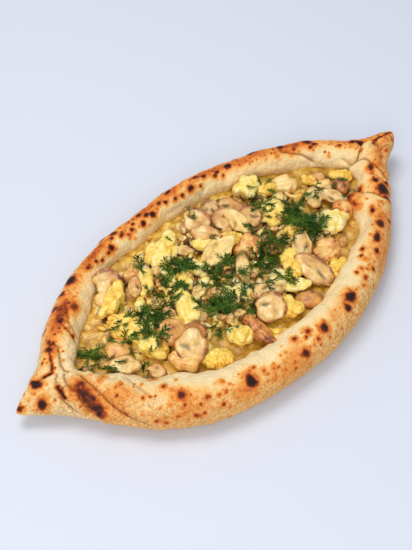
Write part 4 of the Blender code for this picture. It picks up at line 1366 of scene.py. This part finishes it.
def make_bits(heights, material):
    """Small bits of mushroom between the larger pieces, as one mesh."""
    rng = np.random.default_rng(8)
    rows = list(SMALL_PIECES)
    for _ in range(LOOSE_BITS):
        place = strewn_place(rng, BITS_REACH)
        long = rng.uniform(5, 11)
        rows.append(("slice", place, long * rng.uniform(0.5, 0.9), long, rng.uniform(2.2, 3.6),
                     rng.uniform(0, 360), rng.uniform(-20, 45), rng.uniform(0, 0.7), rng.uniform(0, 0.4)))
    bits = Bodies()
    for order, (kind, place, wide, long, thick, heading, lean, brown, coat) in enumerate(rows):
        shape = (kind, wide, long, thick, brown, coat, heading, 40 + order)
        points, faces, looks = mushroom_slice(*shape, count=34, inner=6, side=4)
        height = top_at(heights, *place) + 0.1 * thick
        bits.add(laid(points, place, height, heading - 90, lean), faces, looks)
    return bits.make("mushroom_bits", material, "mushroom")


# ---------------------------------------------------------------- stage


def make_floor():
    """A plain pale floor."""
    bpy.ops.mesh.primitive_plane_add(size=6)
    floor = bpy.context.object
    floor.name = "floor"
    floor.data.materials.append(Nodes("floor").finish(Base_Color=tint(216, 220, 233), Roughness=0.9))
    floor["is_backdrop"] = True


def aimed(obj, back, target, distance):
    """Puts a camera or light at a distance from the target, looking at it."""
    back = Vector(back).normalized()
    obj.location = Vector(target) + back * distance
    obj.rotation_mode = "QUATERNION"
    obj.rotation_quaternion = (-back).to_track_quat("-Z", "Y")
    bpy.context.scene.collection.objects.link(obj)


def make_camera(azimuth, elevation, distance, lens, target):
    """A camera looking down at the bread, its angles in degrees and its distances in metres."""
    azimuth, elevation = math.radians(azimuth), math.radians(elevation)
    level = math.cos(elevation)
    back = (math.sin(azimuth) * level, -math.cos(azimuth) * level, math.sin(elevation))
    camera = bpy.data.objects.new("camera", bpy.data.cameras.new("camera"))
    camera.data.lens = lens
    aimed(camera, back, target, distance)
    bpy.context.scene.camera = camera


def make_light(name, back, distance, size, power, colour):
    """A square lamp at a distance from the bread, shining on it."""
    lamp = bpy.data.lights.new(name, "AREA")
    lamp.size = size
    lamp.energy = power
    lamp.color = colour
    aimed(bpy.data.objects.new(name, lamp), back, (0, 0, 0), distance)


def make_lights():
    """A very large soft key overhead, a fill from the viewer's left, and an even sky."""
    make_light("key", (-0.10, 0.32, 1.2), 1.3, 0.6, 7.25, (1.0, 0.97, 0.91))
    make_light("fill", (-0.85, -0.6, 0.85), 1.4, 0.8, 7.7, (1.0, 0.97, 0.92))
    world = bpy.data.worlds.new("sky")
    world.use_nodes = True
    background = world.node_tree.nodes["Background"]
    background.inputs["Color"].default_value = (0.86, 0.93, 1.0, 1)
    background.inputs["Strength"].default_value = 0.56
    bpy.context.scene.world = world
    bpy.context.scene.view_settings.view_transform = "Standard"


def main():
    """Sets the stage, dresses every node, and strews what lies on top by the heights below it."""
    make_camera(azimuth=-43.1, elevation=50.4, distance=0.8, lens=73.9, target=(-0.0138, 0.0172, 0.012))
    make_lights()
    make_floor()
    materials = {"egg": egg_material(), "mushroom": mushroom_material(), "chicken": chicken_material()}
    make_bread(crust_material())
    make_cheese(cheese_material())
    big = make_toppings(materials)
    bed = make_bed(filling_material())
    loose = make_loose_curds(materials["egg"])
    bits = make_bits(height_map(bed), materials["mushroom"])
    heights = height_map(big, bed, loose, bits)
    paint_gap_shade(heights)
    make_dill(heights, herb_material())


main()
[[list(map(float, corner)) for corner in box] for box in (cad_bounds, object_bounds())]
